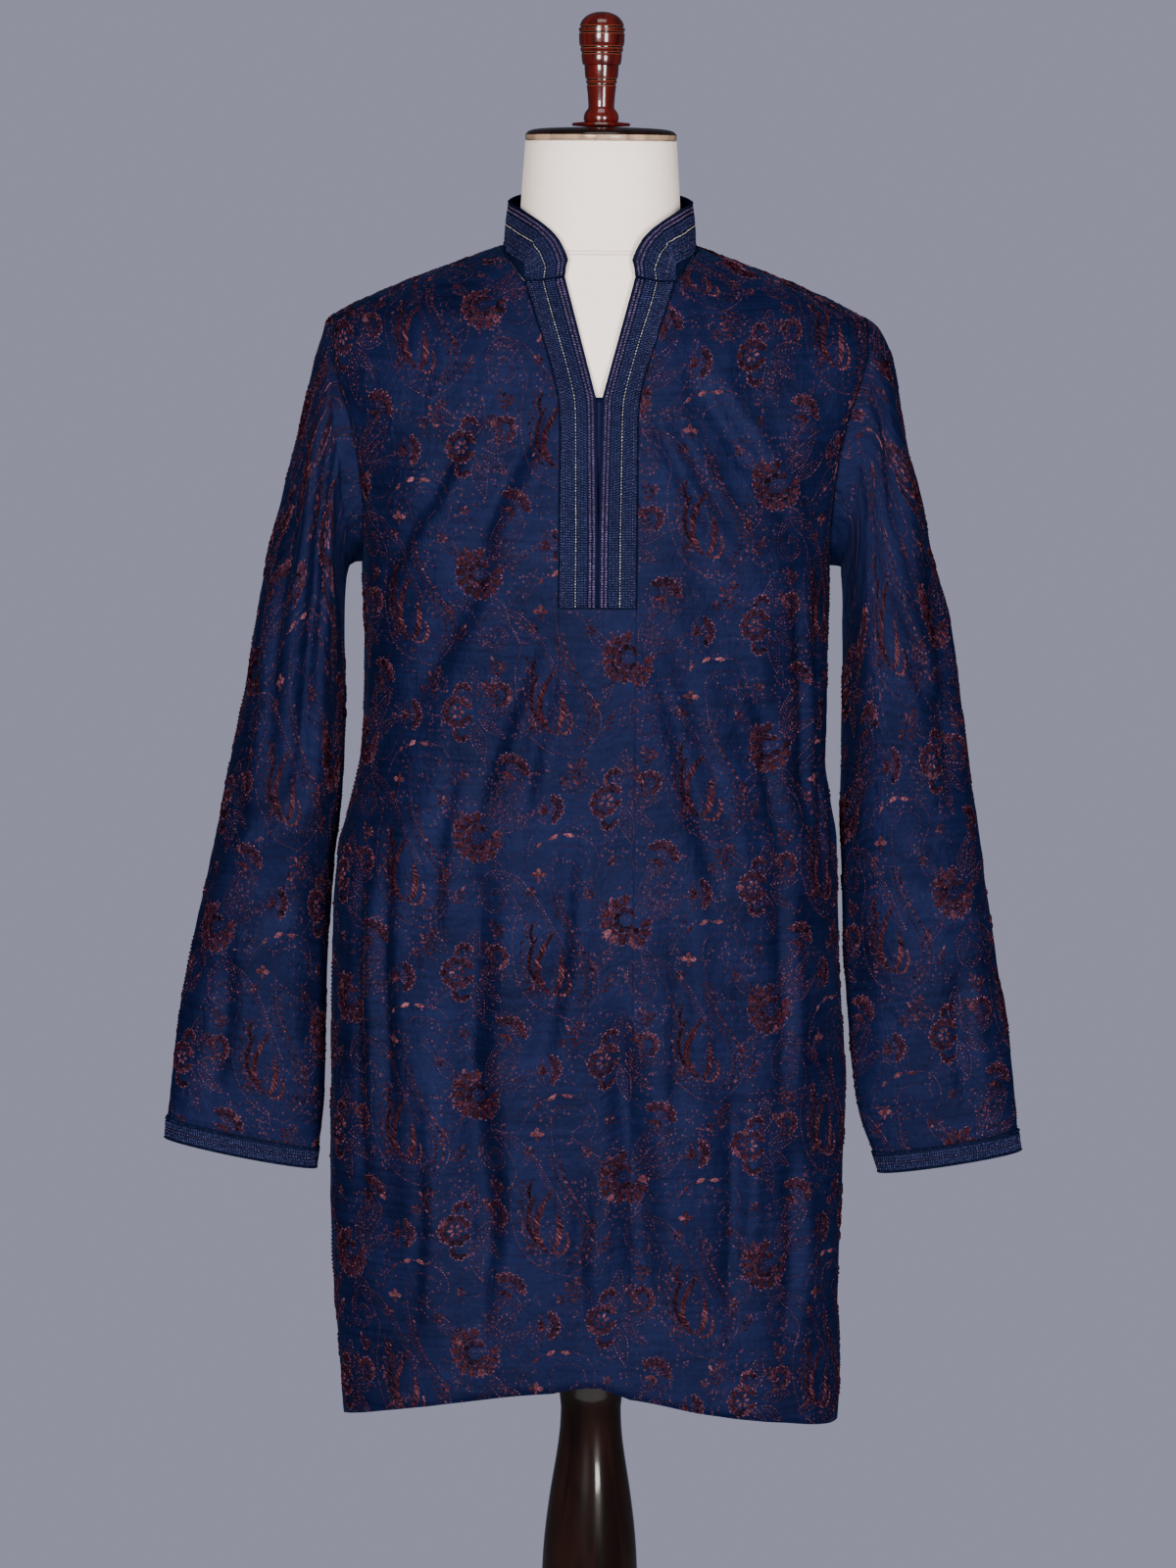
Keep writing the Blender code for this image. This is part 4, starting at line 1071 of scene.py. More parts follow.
def colour_ramp(tree, factor, *stops):
    """Colours along a factor; each stop is a place from 0 to 1 and a colour."""
    ramp = put(tree, "ShaderNodeValToRGB", {"Fac": factor})
    points = ramp.color_ramp.elements
    for number, (place, colour) in enumerate(stops):
        point = points[number] if number < 2 else points.new(place)
        point.position, point.color = place, (*colour, 1.0)
    return ramp.outputs["Color"]


print("node helpers ready")

# %% Weave and unevenness as node groups
weave_tree, given, result = group_of(
    "weave",
    (("Place", "NodeSocketVector"), ("Threads a metre", "NodeSocketFloat"), ("Slub", "NodeSocketFloat")),
    ("Height", "Slub mask"),
)
axes = put(weave_tree, "ShaderNodeSeparateXYZ", {0: given.outputs["Place"]})
waves = []
for axis in ("X", "Y"):
    angle = sum_of(weave_tree, "MULTIPLY", axes.outputs[axis], given.outputs["Threads a metre"])
    waves.append(sum_of(weave_tree, "SINE", sum_of(weave_tree, "MULTIPLY", angle, 2 * math.pi), 0.0))
crossed = sum_of(weave_tree, "MULTIPLY", waves[0], waves[1])
long_threads = put(weave_tree, "ShaderNodeMapping", {"Vector": given.outputs["Place"], "Scale": (12, 260, 40)})
slubs = put(weave_tree, "ShaderNodeTexNoise", {"Vector": long_threads.outputs[0], "Scale": 1.0, "Detail": 3.0})
slub = sum_of(weave_tree, "MULTIPLY", slubs.outputs["Fac"], given.outputs["Slub"])
weave_tree.links.new(sum_of(weave_tree, "MULTIPLY_ADD", crossed, 0.35, slub), result.inputs["Height"])
weave_tree.links.new(slubs.outputs["Fac"], result.inputs["Slub mask"])

patch_tree, given, result = group_of(
    "patches", (("Place", "NodeSocketVector"), ("Size", "NodeSocketFloat")), ("Mask",)
)
spread = put(patch_tree, "ShaderNodeVectorMath", {0: given.outputs["Place"], "Scale": 1.0}, operation="SCALE")
wide = sum_of(patch_tree, "DIVIDE", 1.0, given.outputs["Size"])
cloud = put(patch_tree, "ShaderNodeTexNoise", {"Vector": spread.outputs[0], "Scale": wide, "Detail": 4.0})
patch_tree.links.new(cloud.outputs["Fac"], result.inputs["Mask"])
print("groups:", [tree.name for tree in bpy.data.node_groups])


# %% Navy satin, trim cloth and linen
def new_finish(name, roughness, **sockets):
    made = bpy.data.materials.new(name)
    made.use_nodes = True
    tree = made.node_tree
    shader = tree.nodes["Principled BSDF"]
    shader.inputs["Roughness"].default_value = roughness
    for label, value in sockets.items():
        shader.inputs[label.replace("_", " ").title().replace("Ior", "IOR")].default_value = value
    return made, tree, shader


def flat_place(tree):
    """The place in the flat cut, in metres."""
    cut = put(tree, "ShaderNodeUVMap", uv_map="cut")
    return put(tree, "ShaderNodeVectorMath", {0: cut.outputs[0], "Scale": 1 / CUT_SCALE}, operation="SCALE").outputs[0]


def own_place(tree):
    return put(tree, "ShaderNodeTexCoord").outputs["Object"]


def group_node(tree, group, feeds):
    return put(tree, "ShaderNodeGroup", feeds, node_tree=group)


def add_bump(tree, shader, height, distance, strength=1.0, under=None):
    feeds = {"Height": height, "Distance": distance, "Strength": strength}
    if under is not None:
        feeds["Normal"] = under
    bump = put(tree, "ShaderNodeBump", feeds)
    tree.links.new(bump.outputs[0], shader.inputs["Normal"])
    return bump.outputs[0]


def cloth_finish(name, deep, lit, roughness, threads, slub, pucker, **sockets):
    """Woven cloth: a colour that drifts a little, fine weave, and soft puckers over it."""
    made, tree, shader = new_finish(name, roughness, **sockets)
    place = flat_place(tree)
    weave = group_node(tree, weave_tree, {"Place": place, "Threads a metre": threads, "Slub": slub})
    drift = group_node(tree, patch_tree, {"Place": place, "Size": 0.06})
    blend = sum_of(tree, "MULTIPLY_ADD", weave.outputs["Slub mask"], 0.45, sum_of(tree, "MULTIPLY", drift.outputs[0], 0.55))
    tree.links.new(colour_ramp(tree, blend, (0.32, deep), (0.68, lit)), shader.inputs["Base Color"])
    along = put(tree, "ShaderNodeMapping", {"Vector": place, "Scale": (125.0, 90.0, 1.0)}).outputs[0]
    ridges = put(tree, "ShaderNodeTexNoise", {"Vector": along, "Scale": 1.0, "Detail": 2.0, "Distortion": 0.4})
    under = add_bump(tree, shader, ridges.outputs["Fac"], pucker)
    add_bump(tree, shader, weave.outputs["Height"], 0.00012, under=under)
    return made


navy_satin = cloth_finish(
    "navy satin", (0.0016, 0.0022, 0.0112), (0.0046, 0.0066, 0.0285), 0.42, 1400, 0.8, 0.0016,
    sheen_weight=0.03, sheen_roughness=0.30, sheen_tint=(0.25, 0.40, 1.0, 1.0), specular_ior_level=0.10,
    specular_tint=(0.40, 0.46, 1.0, 1.0),
)
# Single seed stitches strewn between the motifs are too small to model, so this finish shows them.
tree, shader = navy_satin.node_tree, navy_satin.node_tree.nodes["Principled BSDF"]
place, plain = flat_place(tree), shader.inputs["Base Color"].links[0].from_socket
cells = put(tree, "ShaderNodeTexVoronoi", {"Vector": place, "Scale": 360.0})
dots = put(tree, "ShaderNodeMapRange", {0: cells.outputs["Distance"], 1: 0.22, 2: 0.38, 3: 1.0, 4: 0.0}).outputs[0]
clusters = put(tree, "ShaderNodeTexNoise", {"Vector": place, "Scale": 42.0, "Detail": 1.0}).outputs["Fac"]
strewn = put(tree, "ShaderNodeMapRange", {0: clusters, 1: 0.50, 2: 0.56, 3: 0.0, 4: 0.85}).outputs[0]
chosen = put(tree, "ShaderNodeSeparateXYZ", {0: cells.outputs["Color"]}).outputs[0]
maroon = colour_ramp(tree, chosen, (0.2, (0.0035, 0.0015, 0.0040)), (0.9, (0.062, 0.0200, 0.0300)))
shown = put(tree, "ShaderNodeMix", {0: sum_of(tree, "MULTIPLY", dots, strewn), 6: plain, 7: maroon}, data_type="RGBA").outputs[2]
tree.links.new(shown, shader.inputs["Base Color"])

trim_navy = cloth_finish(
    "navy trim cloth", (0.0018, 0.0024, 0.0105), (0.0030, 0.0042, 0.0170), 0.66, 1200, 0.7, 0.0008,
    specular_ior_level=0.05, specular_tint=(0.4, 0.46, 1.0, 1.0),
)
linen, tree, shader = new_finish("cream linen", 0.88, sheen_weight=0.15)
level = put(tree, "ShaderNodeMapping", {"Vector": own_place(tree), "Rotation": (math.pi / 2, 0, 0)}).outputs[0]
weave = group_node(tree, weave_tree, {"Place": level, "Threads a metre": 620, "Slub": 0.8})
soil = group_node(tree, patch_tree, {"Place": own_place(tree), "Size": 0.05})
tone = sum_of(tree, "MULTIPLY_ADD", weave.outputs["Slub mask"], 0.35, sum_of(tree, "MULTIPLY", soil.outputs[0], 0.65))
tree.links.new(
    colour_ramp(tree, tone, (0.25, (0.86, 0.725, 0.645)), (0.75, (0.92, 0.79, 0.715))),
    shader.inputs["Base Color"],
)
# The cover's raised seam runs level round the neck.
height = put(tree, "ShaderNodeSeparateXYZ", {0: own_place(tree)}).outputs["Z"]
off_seam = sum_of(tree, "ABSOLUTE", sum_of(tree, "SUBTRACT", height, 1.4515), 0.0)
seam = put(tree, "ShaderNodeMapRange", {0: off_seam, 1: 0.0005, 2: 0.0022, 3: 1.0, 4: 0.0}, interpolation_type="SMOOTHSTEP")
under = add_bump(tree, shader, seam.outputs[0], 0.0016)
add_bump(tree, shader, weave.outputs["Height"], 0.0006, under=under)
print("cloth finishes:", navy_satin.name, trim_navy.name, linen.name)


# %% Thread: its colour, the dye with painted highlight and shade, is kept on each stitch
def thread_finish(name, roughness):
    made, tree, shader = new_finish(name, roughness, specular_ior_level=0.16)
    dye_with_painted_light = put(tree, "ShaderNodeAttribute", attribute_name="dye_with_painted_light")
    strands = put(tree, "ShaderNodeUVMap", uv_map="thread")
    lines = put(tree, "ShaderNodeMapping", {"Vector": strands.outputs[0], "Scale": (9.0, 2.2, 1.0)})
    wave = put(tree, "ShaderNodeTexWave", {"Vector": lines.outputs[0], "Scale": 1.0, "Distortion": 1.0})
    # Low parts of the wave, between the strands, darken the colour as painted shade; the same wave is also the bump.
    shade = put(tree, "ShaderNodeMath", {0: wave.outputs["Fac"], 1: 0.35, 2: 0.75}, operation="MULTIPLY_ADD")
    # Fine flecks lighten and darken the thread in spots: painted glints and painted shade on single stitches.
    fleck = put(tree, "ShaderNodeTexNoise", {"Vector": own_place(tree), "Scale": 620.0, "Detail": 1.0})
    wear_and_glints = put(tree, "ShaderNodeMapRange", {0: fleck.outputs["Fac"], 1: 0.36, 2: 0.64, 3: 0.40, 4: 1.85})
    shade = sum_of(tree, "MULTIPLY", shade.outputs[0], wear_and_glints.outputs[0])
    worked = put(tree, "ShaderNodeVectorMath", {0: dye_with_painted_light.outputs["Color"], "Scale": shade}, operation="SCALE")
    tree.links.new(worked.outputs[0], shader.inputs["Base Color"])
    add_bump(tree, shader, wave.outputs["Fac"], 0.0003)
    return made


thread = thread_finish("embroidery thread", 0.38)


# A smooth skin would mirror the lights where it turns away from the eye, and cloth doesn't.
for made, level in ((navy_satin, 0.07), (trim_navy, 0.04), (thread, 0.10)):
    facing = put(made.node_tree, "ShaderNodeLayerWeight", {"Blend": 0.5}).outputs["Facing"]
    gloss = put(made.node_tree, "ShaderNodeMapRange", {0: facing, 1: 0.08, 2: 0.34, 3: level, 4: 0.0}).outputs[0]
    made.node_tree.links.new(gloss, made.node_tree.nodes["Principled BSDF"].inputs["Specular IOR Level"])
print("thread finish:", thread.name)

# %% Turned wood: mahogany with grooves, and dark lacquer with a worn rim
GROOVES_Z = (1.63095, 1.6266, 1.61485, 1.6102, 1.5890, 1.5851)
GROOVE_HALF = 0.0007

mahogany, tree, shader = new_finish("red mahogany lacquer", 0.24, coat_weight=0.7, specular_ior_level=0.2, coat_roughness=0.07)
place = own_place(tree)
stretched = put(tree, "ShaderNodeMapping", {"Vector": place, "Scale": (90, 90, 12)}).outputs[0]
figure = put(tree, "ShaderNodeTexNoise", {"Vector": stretched, "Scale": 1.0, "Detail": 5.0, "Distortion": 1.2})
height = put(tree, "ShaderNodeSeparateXYZ", {0: place}).outputs["Z"]
grooves, edges = 0.0, 0.0
for groove in GROOVES_Z:
    grooves = sum_of(tree, "ADD", sum_of(tree, "COMPARE", height, groove, GROOVE_HALF), grooves)
    edges = sum_of(tree, "ADD", sum_of(tree, "COMPARE", height, groove, GROOVE_HALF * 1.6), edges)
red = colour_ramp(tree, figure.outputs["Fac"], (0.3, (0.014, 0.0012, 0.0010)), (0.7, (0.070, 0.0042, 0.0028)))
rubbed = put(tree, "ShaderNodeMix", {0: edges, 6: red, 7: (0.16, 0.036, 0.016, 1)}, data_type="RGBA").outputs[2]
lined = put(tree, "ShaderNodeMix", {0: grooves, 6: rubbed, 7: (0.004, 0.002, 0.002, 1)}, data_type="RGBA").outputs[2]
tree.links.new(lined, shader.inputs["Base Color"])


def dark_lacquer(name, worn_from, worn_to, worn_z):
    """Near-black lacquer, rubbed to tan wood where the radius and the height say so."""
    made, tree, shader = new_finish(name, 0.30, coat_weight=0.5, coat_roughness=0.06, specular_ior_level=0.1)
    place = own_place(tree)
    axes = put(tree, "ShaderNodeSeparateXYZ", {0: place})
    across = put(tree, "ShaderNodeCombineXYZ", {0: axes.outputs["X"], 1: axes.outputs["Y"]})
    radius = put(tree, "ShaderNodeVectorMath", {0: across.outputs[0]}, operation="LENGTH").outputs["Value"]
    grain = put(tree, "ShaderNodeMapping", {"Vector": place, "Scale": (60, 60, 9)}).outputs[0]
    figure = put(tree, "ShaderNodeTexNoise", {"Vector": grain, "Scale": 1.0, "Detail": 5.0, "Distortion": 0.8})
    brown = colour_ramp(tree, figure.outputs["Fac"], (0.3, (0.0022, 0.0011, 0.0010)), (0.75, (0.0110, 0.0040, 0.0028)))
    rough_edge = group_node(tree, patch_tree, {"Place": place, "Size": 0.004})
    shifted = sum_of(tree, "MULTIPLY_ADD", rough_edge.outputs[0], 0.004, radius)
    wear_and_glints = put(
        tree, "ShaderNodeMapRange",
        {"Value": shifted, "From Min": worn_from, "From Max": worn_to, "To Min": 0.0, "To Max": 1.0},
    ).outputs[0]
    low = sum_of(tree, "LESS_THAN", axes.outputs["Z"], worn_z)
    mask = sum_of(tree, "MULTIPLY", wear_and_glints, low)
    tan = colour_ramp(tree, figure.outputs["Fac"], (0.3, (0.16, 0.095, 0.060)), (0.7, (0.36, 0.24, 0.16)))
    both = put(tree, "ShaderNodeMix", {0: mask, 6: brown, 7: tan}, data_type="RGBA").outputs[2]
    tree.links.new(both, shader.inputs["Base Color"])
    tree.links.new(sum_of(tree, "MULTIPLY_ADD", mask, 0.4, 0.22), shader.inputs["Roughness"])
    return made


cap_wood = dark_lacquer("dark lacquer, worn rim", 0.0605, 0.0625, 1.5448)
stand_wood = dark_lacquer("dark lacquer", 1.0, 1.1, 0.0)
FINISHES = (
    (navy_satin, (front, back, left_sleeve, right_sleeve, underlap)),
    (trim_navy, (collar, *bands.values(), *cuffs.values())),
    (linen, (torso,)),
    (mahogany, (finial,)),
    (cap_wood, (neck_cap,)),
    (stand_wood, (column, base)),
)
for finish, pieces in FINISHES:
    for piece in pieces:
        piece.data.materials.clear()
        piece.data.materials.append(finish)
print("finishes given to", sum(len(pieces) for _, pieces in FINISHES), "pieces")

# %% [markdown]
# ## Embroidery
#
# The real cloth is embroidered all over with maroon thread: rosettes, lotus flowers, fans and
# paisleys, tied together by scrolling lines of running stitch. The pattern repeats on a slanted
# lattice. A chart of one repeat lists its stitches: place, direction, length, width and tone.
# Two small meshes, a grain for running stitch and a petal for satin stitch, are then set on every
# listed place by Geometry Nodes, and the tree lays them on the cloth through its flat cut. The
# chart is a traditional pattern in its own drawing, made of leaves, petals and curves.

# %% Marks of the chart, in millimetres
GRAIN, PETAL = 0, 1


def through(points, spacing):
    """Points at an even spacing on a smooth curve through the given ones, and its direction."""
    points = np.array(points, float)
    if len(points) == 2:
        fine = points[0] + (points[1] - points[0]) * np.linspace(0, 1, 40)[:, None]
    else:
        fine = between_rings(points, 12)
    run = np.concatenate([[0.0], np.cumsum(np.linalg.norm(np.diff(fine, axis=0), axis=1))])
    at = np.arange(spacing / 2, run[-1], spacing)
    x, y = (np.interp(at, run, fine[:, axis]) for axis in (0, 1))
    ahead = np.stack([np.interp(at + 0.3, run, fine[:, axis]) for axis in (0, 1)], axis=-1)
    behind = np.stack([np.interp(at - 0.3, run, fine[:, axis]) for axis in (0, 1)], axis=-1)
    step = ahead - behind
    return x, y, np.arctan2(step[:, 1], step[:, 0])


def running(points, tone=0.5, pitch=2.55, width=1.15):
    """Running stitch along a curve."""
    tone += 0.22
    return [(x, y, turn, pitch * 0.84, width, GRAIN, tone) for x, y, turn in zip(*through(points, pitch))]


def petal(x, y, turn, length, width, tone=0.7):
    """A satin-stitched petal whose base is at x, y."""
    return (x + math.cos(turn) * length / 2, y + math.sin(turn) * length / 2, turn, length, width, PETAL, tone)


def leaf(base, tip, width, seeds=3, tone=0.5):
    """A leaf drawn by its outline, with a row of seeds on its rib."""
    base, tip = np.array(base, float), np.array(tip, float)
    along = tip - base
    side = np.array((-along[1], along[0])) / np.linalg.norm(along) * width / 2
    marks = []
    for sign in (-1, 1):
        middle = [base + along * 0.35 + sign * side, base + along * 0.7 + sign * side * 0.72]
        marks += running([base, *middle, tip], tone)
    turn = math.atan2(along[1], along[0])
    for share in np.linspace(0.22, 0.78, seeds):
        marks.append((*(base + along * share), turn + 0.9, 2.6, 1.3, GRAIN, tone + 0.2))
    return marks


def ring_of_petals(x, y, start, end, count, inner, length, width, tone=0.7):
    marks = []
    for turn in np.radians(np.linspace(start, end, count)):
        marks.append(petal(x + math.cos(turn) * inner, y + math.sin(turn) * inner, turn, length, width, tone))
    return marks


def scallops(x, y, start, end, count, radius, depth, tone=0.6):
    """A ring of rounded lobes: dark lobes and a band under them, with bright rims and veins; the darker tone is painted
    shade and the brighter tone painted highlight.
    """
    marks = []
    turns = np.radians(np.linspace(start, end, count))
    step = abs(turns[1] - turns[0])
    lobe = radius * step

    def mark(turn, reach, tilt, length, width, kind, tone):
        marks.append((x + math.cos(turn) * reach, y + math.sin(turn) * reach, turn + tilt, length, width, kind, tone))

    for turn in turns:
        mark(turn, radius - depth * 0.05, 0, depth * 1.0, lobe * 1.0, PETAL, tone - 0.18)
        if turn < turns[-1] or end - start > 300:
            mark(turn + step / 2, radius - depth * 0.52, math.pi / 2, lobe * 1.15, depth * 0.36, PETAL, tone - 0.3)
        for share, rise in ((-0.38, 0.30), (0, 0.52), (0.38, 0.30)):
            mark(turn + share * step, radius + depth * rise, math.pi / 2 - share * 2.6, lobe * 0.52, 1.25, GRAIN, tone + 0.45)
        for share in (-0.2, 0.2):
            mark(turn + share * step, radius + depth * 0.02, share, depth * 0.55, 1.15, GRAIN, tone + 0.15)
    return marks


def dotted(x, y, radius, count, size, tone=0.6):
    marks = []
    for turn in np.linspace(0, 2 * math.pi, count, endpoint=False):
        marks.append((x + math.cos(turn) * radius, y + math.sin(turn) * radius, turn + 1.57, size, size * 0.6, GRAIN, tone))
    return marks


def seeds(x, y, turn, rows, spread, length=2.8, width=1.3, tone=0.6):
    """A fan of seed stitches: each row is a distance and a number of seeds."""
    marks = []
    for distance, count in rows:
        for angle in np.linspace(-spread, spread, count):
            to = turn + angle
            marks.append((x + math.cos(to) * distance, y + math.sin(to) * distance, to, length, width, GRAIN, tone))
    return marks


print("a leaf has", len(leaf((0, 0), (30, 0), 10)), "stitches")


# %% Motifs of the chart
def rosette(x, y):
    marks = scallops(x, y, 92, 372, 11, 16.6, 8.0, 0.62) + scallops(x, y, 60, 335, 7, 8.8, 4.8, 0.5)
    marks += dotted(x, y, 12.4, 24, 1.9, 0.35) + dotted(x, y, 5.2, 11, 1.7) + dotted(x, y, 2.0, 5, 1.5, 0.9)
    for base, tip, width in (((12, 10), (38, 42), 11), ((8, 12), (20, 48), 9), ((15, 4), (46, 22), 9)):
        marks += leaf((x + base[0], y + base[1]), (x + tip[0], y + tip[1]), width, 6)
        inner = (x + mix(base[0], tip[0], 0.15), y + mix(base[1], tip[1], 0.15))
        marks += leaf(inner, (x + mix(base[0], tip[0], 0.8), y + mix(base[1], tip[1], 0.8)), width * 0.5, 0, 0.3)
    marks += seeds(x + 13, y + 13, 0.85, ((6, 3), (10, 4), (14, 5), (18, 5)), 0.62, 2.6, 1.5, 0.75)
    return marks + seeds(x, y, -2.3, ((24, 4), (27.5, 6)), 0.5, 2.4, 1.3, 0.4)


def fan_blossom(x, y, turn, reach, count, stem):
    """Lobes spread on a fan, over a base of seeds and a stem."""
    spread = math.degrees(turn)
    marks = scallops(x, y, spread - 66, spread + 66, count, reach * 1.15, reach * 0.62, 0.62)
    marks += seeds(x, y, turn, ((reach * 0.30, 3), (reach * 0.52, 5), (reach * 0.74, 7)), 0.95, 2.4, 1.3, 0.75)
    foot = (x - math.cos(turn) * stem, y - math.sin(turn) * stem)
    bend = (x - math.cos(turn + 0.25) * stem * 0.5, y - math.sin(turn + 0.25) * stem * 0.5)
    marks += running([(x, y), bend, foot]) + running([(x + 1.4, y - 1.4), (bend[0] + 1.6, bend[1] - 1.2), foot], 0.3)
    for tilt in (2.3, -2.3, 2.75, -2.75):
        marks.append(petal(x, y, turn + tilt, reach * 0.72, 2.8, 0.45))
    marks += leaf(bend, (bend[0] + math.cos(turn + 1.2) * 13, bend[1] + math.sin(turn + 1.2) * 13), 5, 3, 0.45)
    return marks + leaf(bend, (bend[0] + math.cos(turn - 1.2) * 12, bend[1] + math.sin(turn - 1.2) * 12), 5, 3, 0.35)


def lotus(x, y):
    marks = []
    for base, tip, width in (((0, 7), (6, 38), 12), ((8, 0), (36, 3), 11), ((4, -8), (12, -40), 11), ((8, -5), (30, -21), 8)):
        marks += leaf((x + base[0], y + base[1]), (x + tip[0], y + tip[1]), width, 6, 0.55)
        inner = (x + mix(base[0], tip[0], 0.12), y + mix(base[1], tip[1], 0.12))
        marks += leaf(inner, (x + mix(base[0], tip[0], 0.82), y + mix(base[1], tip[1], 0.82)), width * 0.52, 0, 0.3)
    marks += scallops(x - 9, y, 30, 330, 9, 10.6, 5.4, 0.66) + ring_of_petals(x - 9, y, 0, 300, 6, 1.6, 4.6, 3.2, 0.85)
    marks += scallops(x - 4, y + 17, 20, 190, 5, 5.4, 4.2, 0.6) + scallops(x - 6, y - 17, 170, 330, 5, 5.4, 4.2, 0.5)
    marks += scallops(x + 25, y + 15, -60, 160, 7, 8.2, 5.0, 0.72) + dotted(x + 25, y + 15, 3.4, 8, 1.7, 0.5)
    return marks + seeds(x + 6, y + 4, 0.75, ((7, 3), (11, 4), (15, 5), (19, 5)), 0.55, 2.5, 1.4, 0.7)


def trefoil(x, y):
    marks = [petal(x, y, math.radians(turn), 6.4, 4.8, 0.8) for turn in (90, 170, 10)]
    return marks + [petal(x, y, math.radians(270), 6.0, 3.2, 0.7)]


def small_flower(x, y, radius=3.6):
    return ring_of_petals(x, y, 0, 288, 5, 0.8, radius, radius * 0.78, 0.65)


def sprig(x, y, turn, length):
    tip = (x + math.cos(turn) * length, y + math.sin(turn) * length)
    bend = (x + math.cos(turn + 0.4) * length * 0.5, y + math.sin(turn + 0.4) * length * 0.5)
    marks = running([(x, y), bend, tip], 0.35)
    for share in (0.35, 0.6, 0.85):
        at = (mix(x, tip[0], share), mix(y, tip[1], share))
        marks.append(petal(*at, turn + 0.9, length * 0.3, length * 0.13, 0.6))
        marks.append(petal(*at, turn - 0.9, length * 0.3, length * 0.13, 0.5))
    return marks + [petal(*tip, turn, length * 0.3, length * 0.16, 0.8)]


def scroll():
    """Two lines of running stitch that curl, with beads of leaves on the back of the curl."""
    outer = [(37, -24), (42, -12), (54, 0), (74, 4), (90, 0), (98, -14), (95, -28), (86, -35), (78, -28), (84, -21)]
    marks = running(outer, 0.45, 2.4) + running([(62, -32), (61, -18), (66, -9), (78, -6), (88, -10), (91, -20)], 0.4)
    marks += [petal(58, 0.5, 0.5, 8.5, 4.4, 0.95), petal(69, 3.4, -0.1, 9.5, 4.0, 0.9), petal(48, -6, 0.9, 6.4, 3.6, 0.7)]
    return marks + trefoil(50, -28) + small_flower(44, -41)


def flame(points, width, tone):
    """A bent solid leaf: slanted satin stitches side by side along a curve, and an echo line."""
    x, y, turn = through(points, 1.7)
    share = np.linspace(0, 1, len(x))
    wide = width * np.sin(np.pi * (0.10 + 0.86 * share)) ** 0.9 * (1 + 0.22 * np.sin(share * 29))
    marks = [(a, b, c + 0.85, w * 1.15, 2.3, PETAL, tone - 0.3 * (i % 2)) for i, (a, b, c, w) in enumerate(zip(x, y, turn, wide))]
    echo = [(a - math.sin(c) * w * 0.85, b + math.cos(c) * w * 0.85) for a, b, c, w in zip(x, y, turn, wide)]
    return marks + running(echo, 0.35)


def paisley():
    right = [(62, -32), (66, -54), (76, -74), (88, -90), (97, -104), (98, -120), (90, -134), (76, -145)]
    left = [(76, -145), (56, -138), (40, -124), (31, -100), (30, -75), (34, -56), (28, -42)]
    marks = running(right, 0.5, 2.4) + running(left, 0.5, 2.4)
    for inset, tone in ((0.0, 0.5), (2.4, 0.3), (4.6, 0.2)):
        curl = [(74 - inset, -94), (66 - inset, -78), (52 - inset, -52), (40 - inset, -36 - inset), (30, -28 - inset)]
        curl += [(12 + inset, -26 - inset), (2 + inset, -38), (3 + inset, -54 + inset), (14, -60 + inset)]
        curl += [(24 - inset, -53), (22 - inset, -43), (14, -40 - inset), (11, -46)]
        marks += running(curl, tone)
    x, y, turn = through([(66, -44), (70, -62), (78, -78), (88, -94), (93, -108), (92, -122), (84, -132)], 3.6)
    for number, (a, b, c) in enumerate(zip(x, y, turn)):
        marks += [petal(a, b, c + 0.7, 3.6, 2.3, 0.75 - 0.3 * (number % 2)), petal(a - 3, b, c - 0.9, 3.0, 1.9, 0.45)]
        marks.append((a - 6, b + 1, c + 0.4, 2.2, 1.2, GRAIN, 0.4))
    marks += flame([(59, -124), (51, -112), (50, -98), (56, -84), (62, -74)], 7.0, 0.62)
    marks += flame([(50, -116), (44, -104), (44, -90), (50, -76)], 4.8, 0.42) + flame([(46, -84), (44, -74), (47, -64)], 3.6, 0.4)
    marks += flame([(62, -125), (67, -116), (69, -104), (67, -92)], 7.5, 0.72)
    marks += flame([(64, -126), (72, -125), (76, -116), (74, -108)], 3.4, 0.95)
    marks += seeds(64, -112, -1.6, ((17, 6), (20.5, 8), (24, 10), (27.5, 11)), 1.15, 2.7, 1.5, 0.6)
    for row, (a, b) in enumerate(((36, -84), (35, -92), (36, -100), (38, -108), (41, -116), (38, -76), (38, -68))):
        marks += [petal(a, b, 1.1, 4.6, 2.2, 0.55), petal(a + 4, b - 3, 2.2, 3.6, 1.9, 0.7)]
        marks.append((a + 6.5, b + 2, 0.6 * row, 2.2, 1.2, GRAIN, 0.5))
    return marks


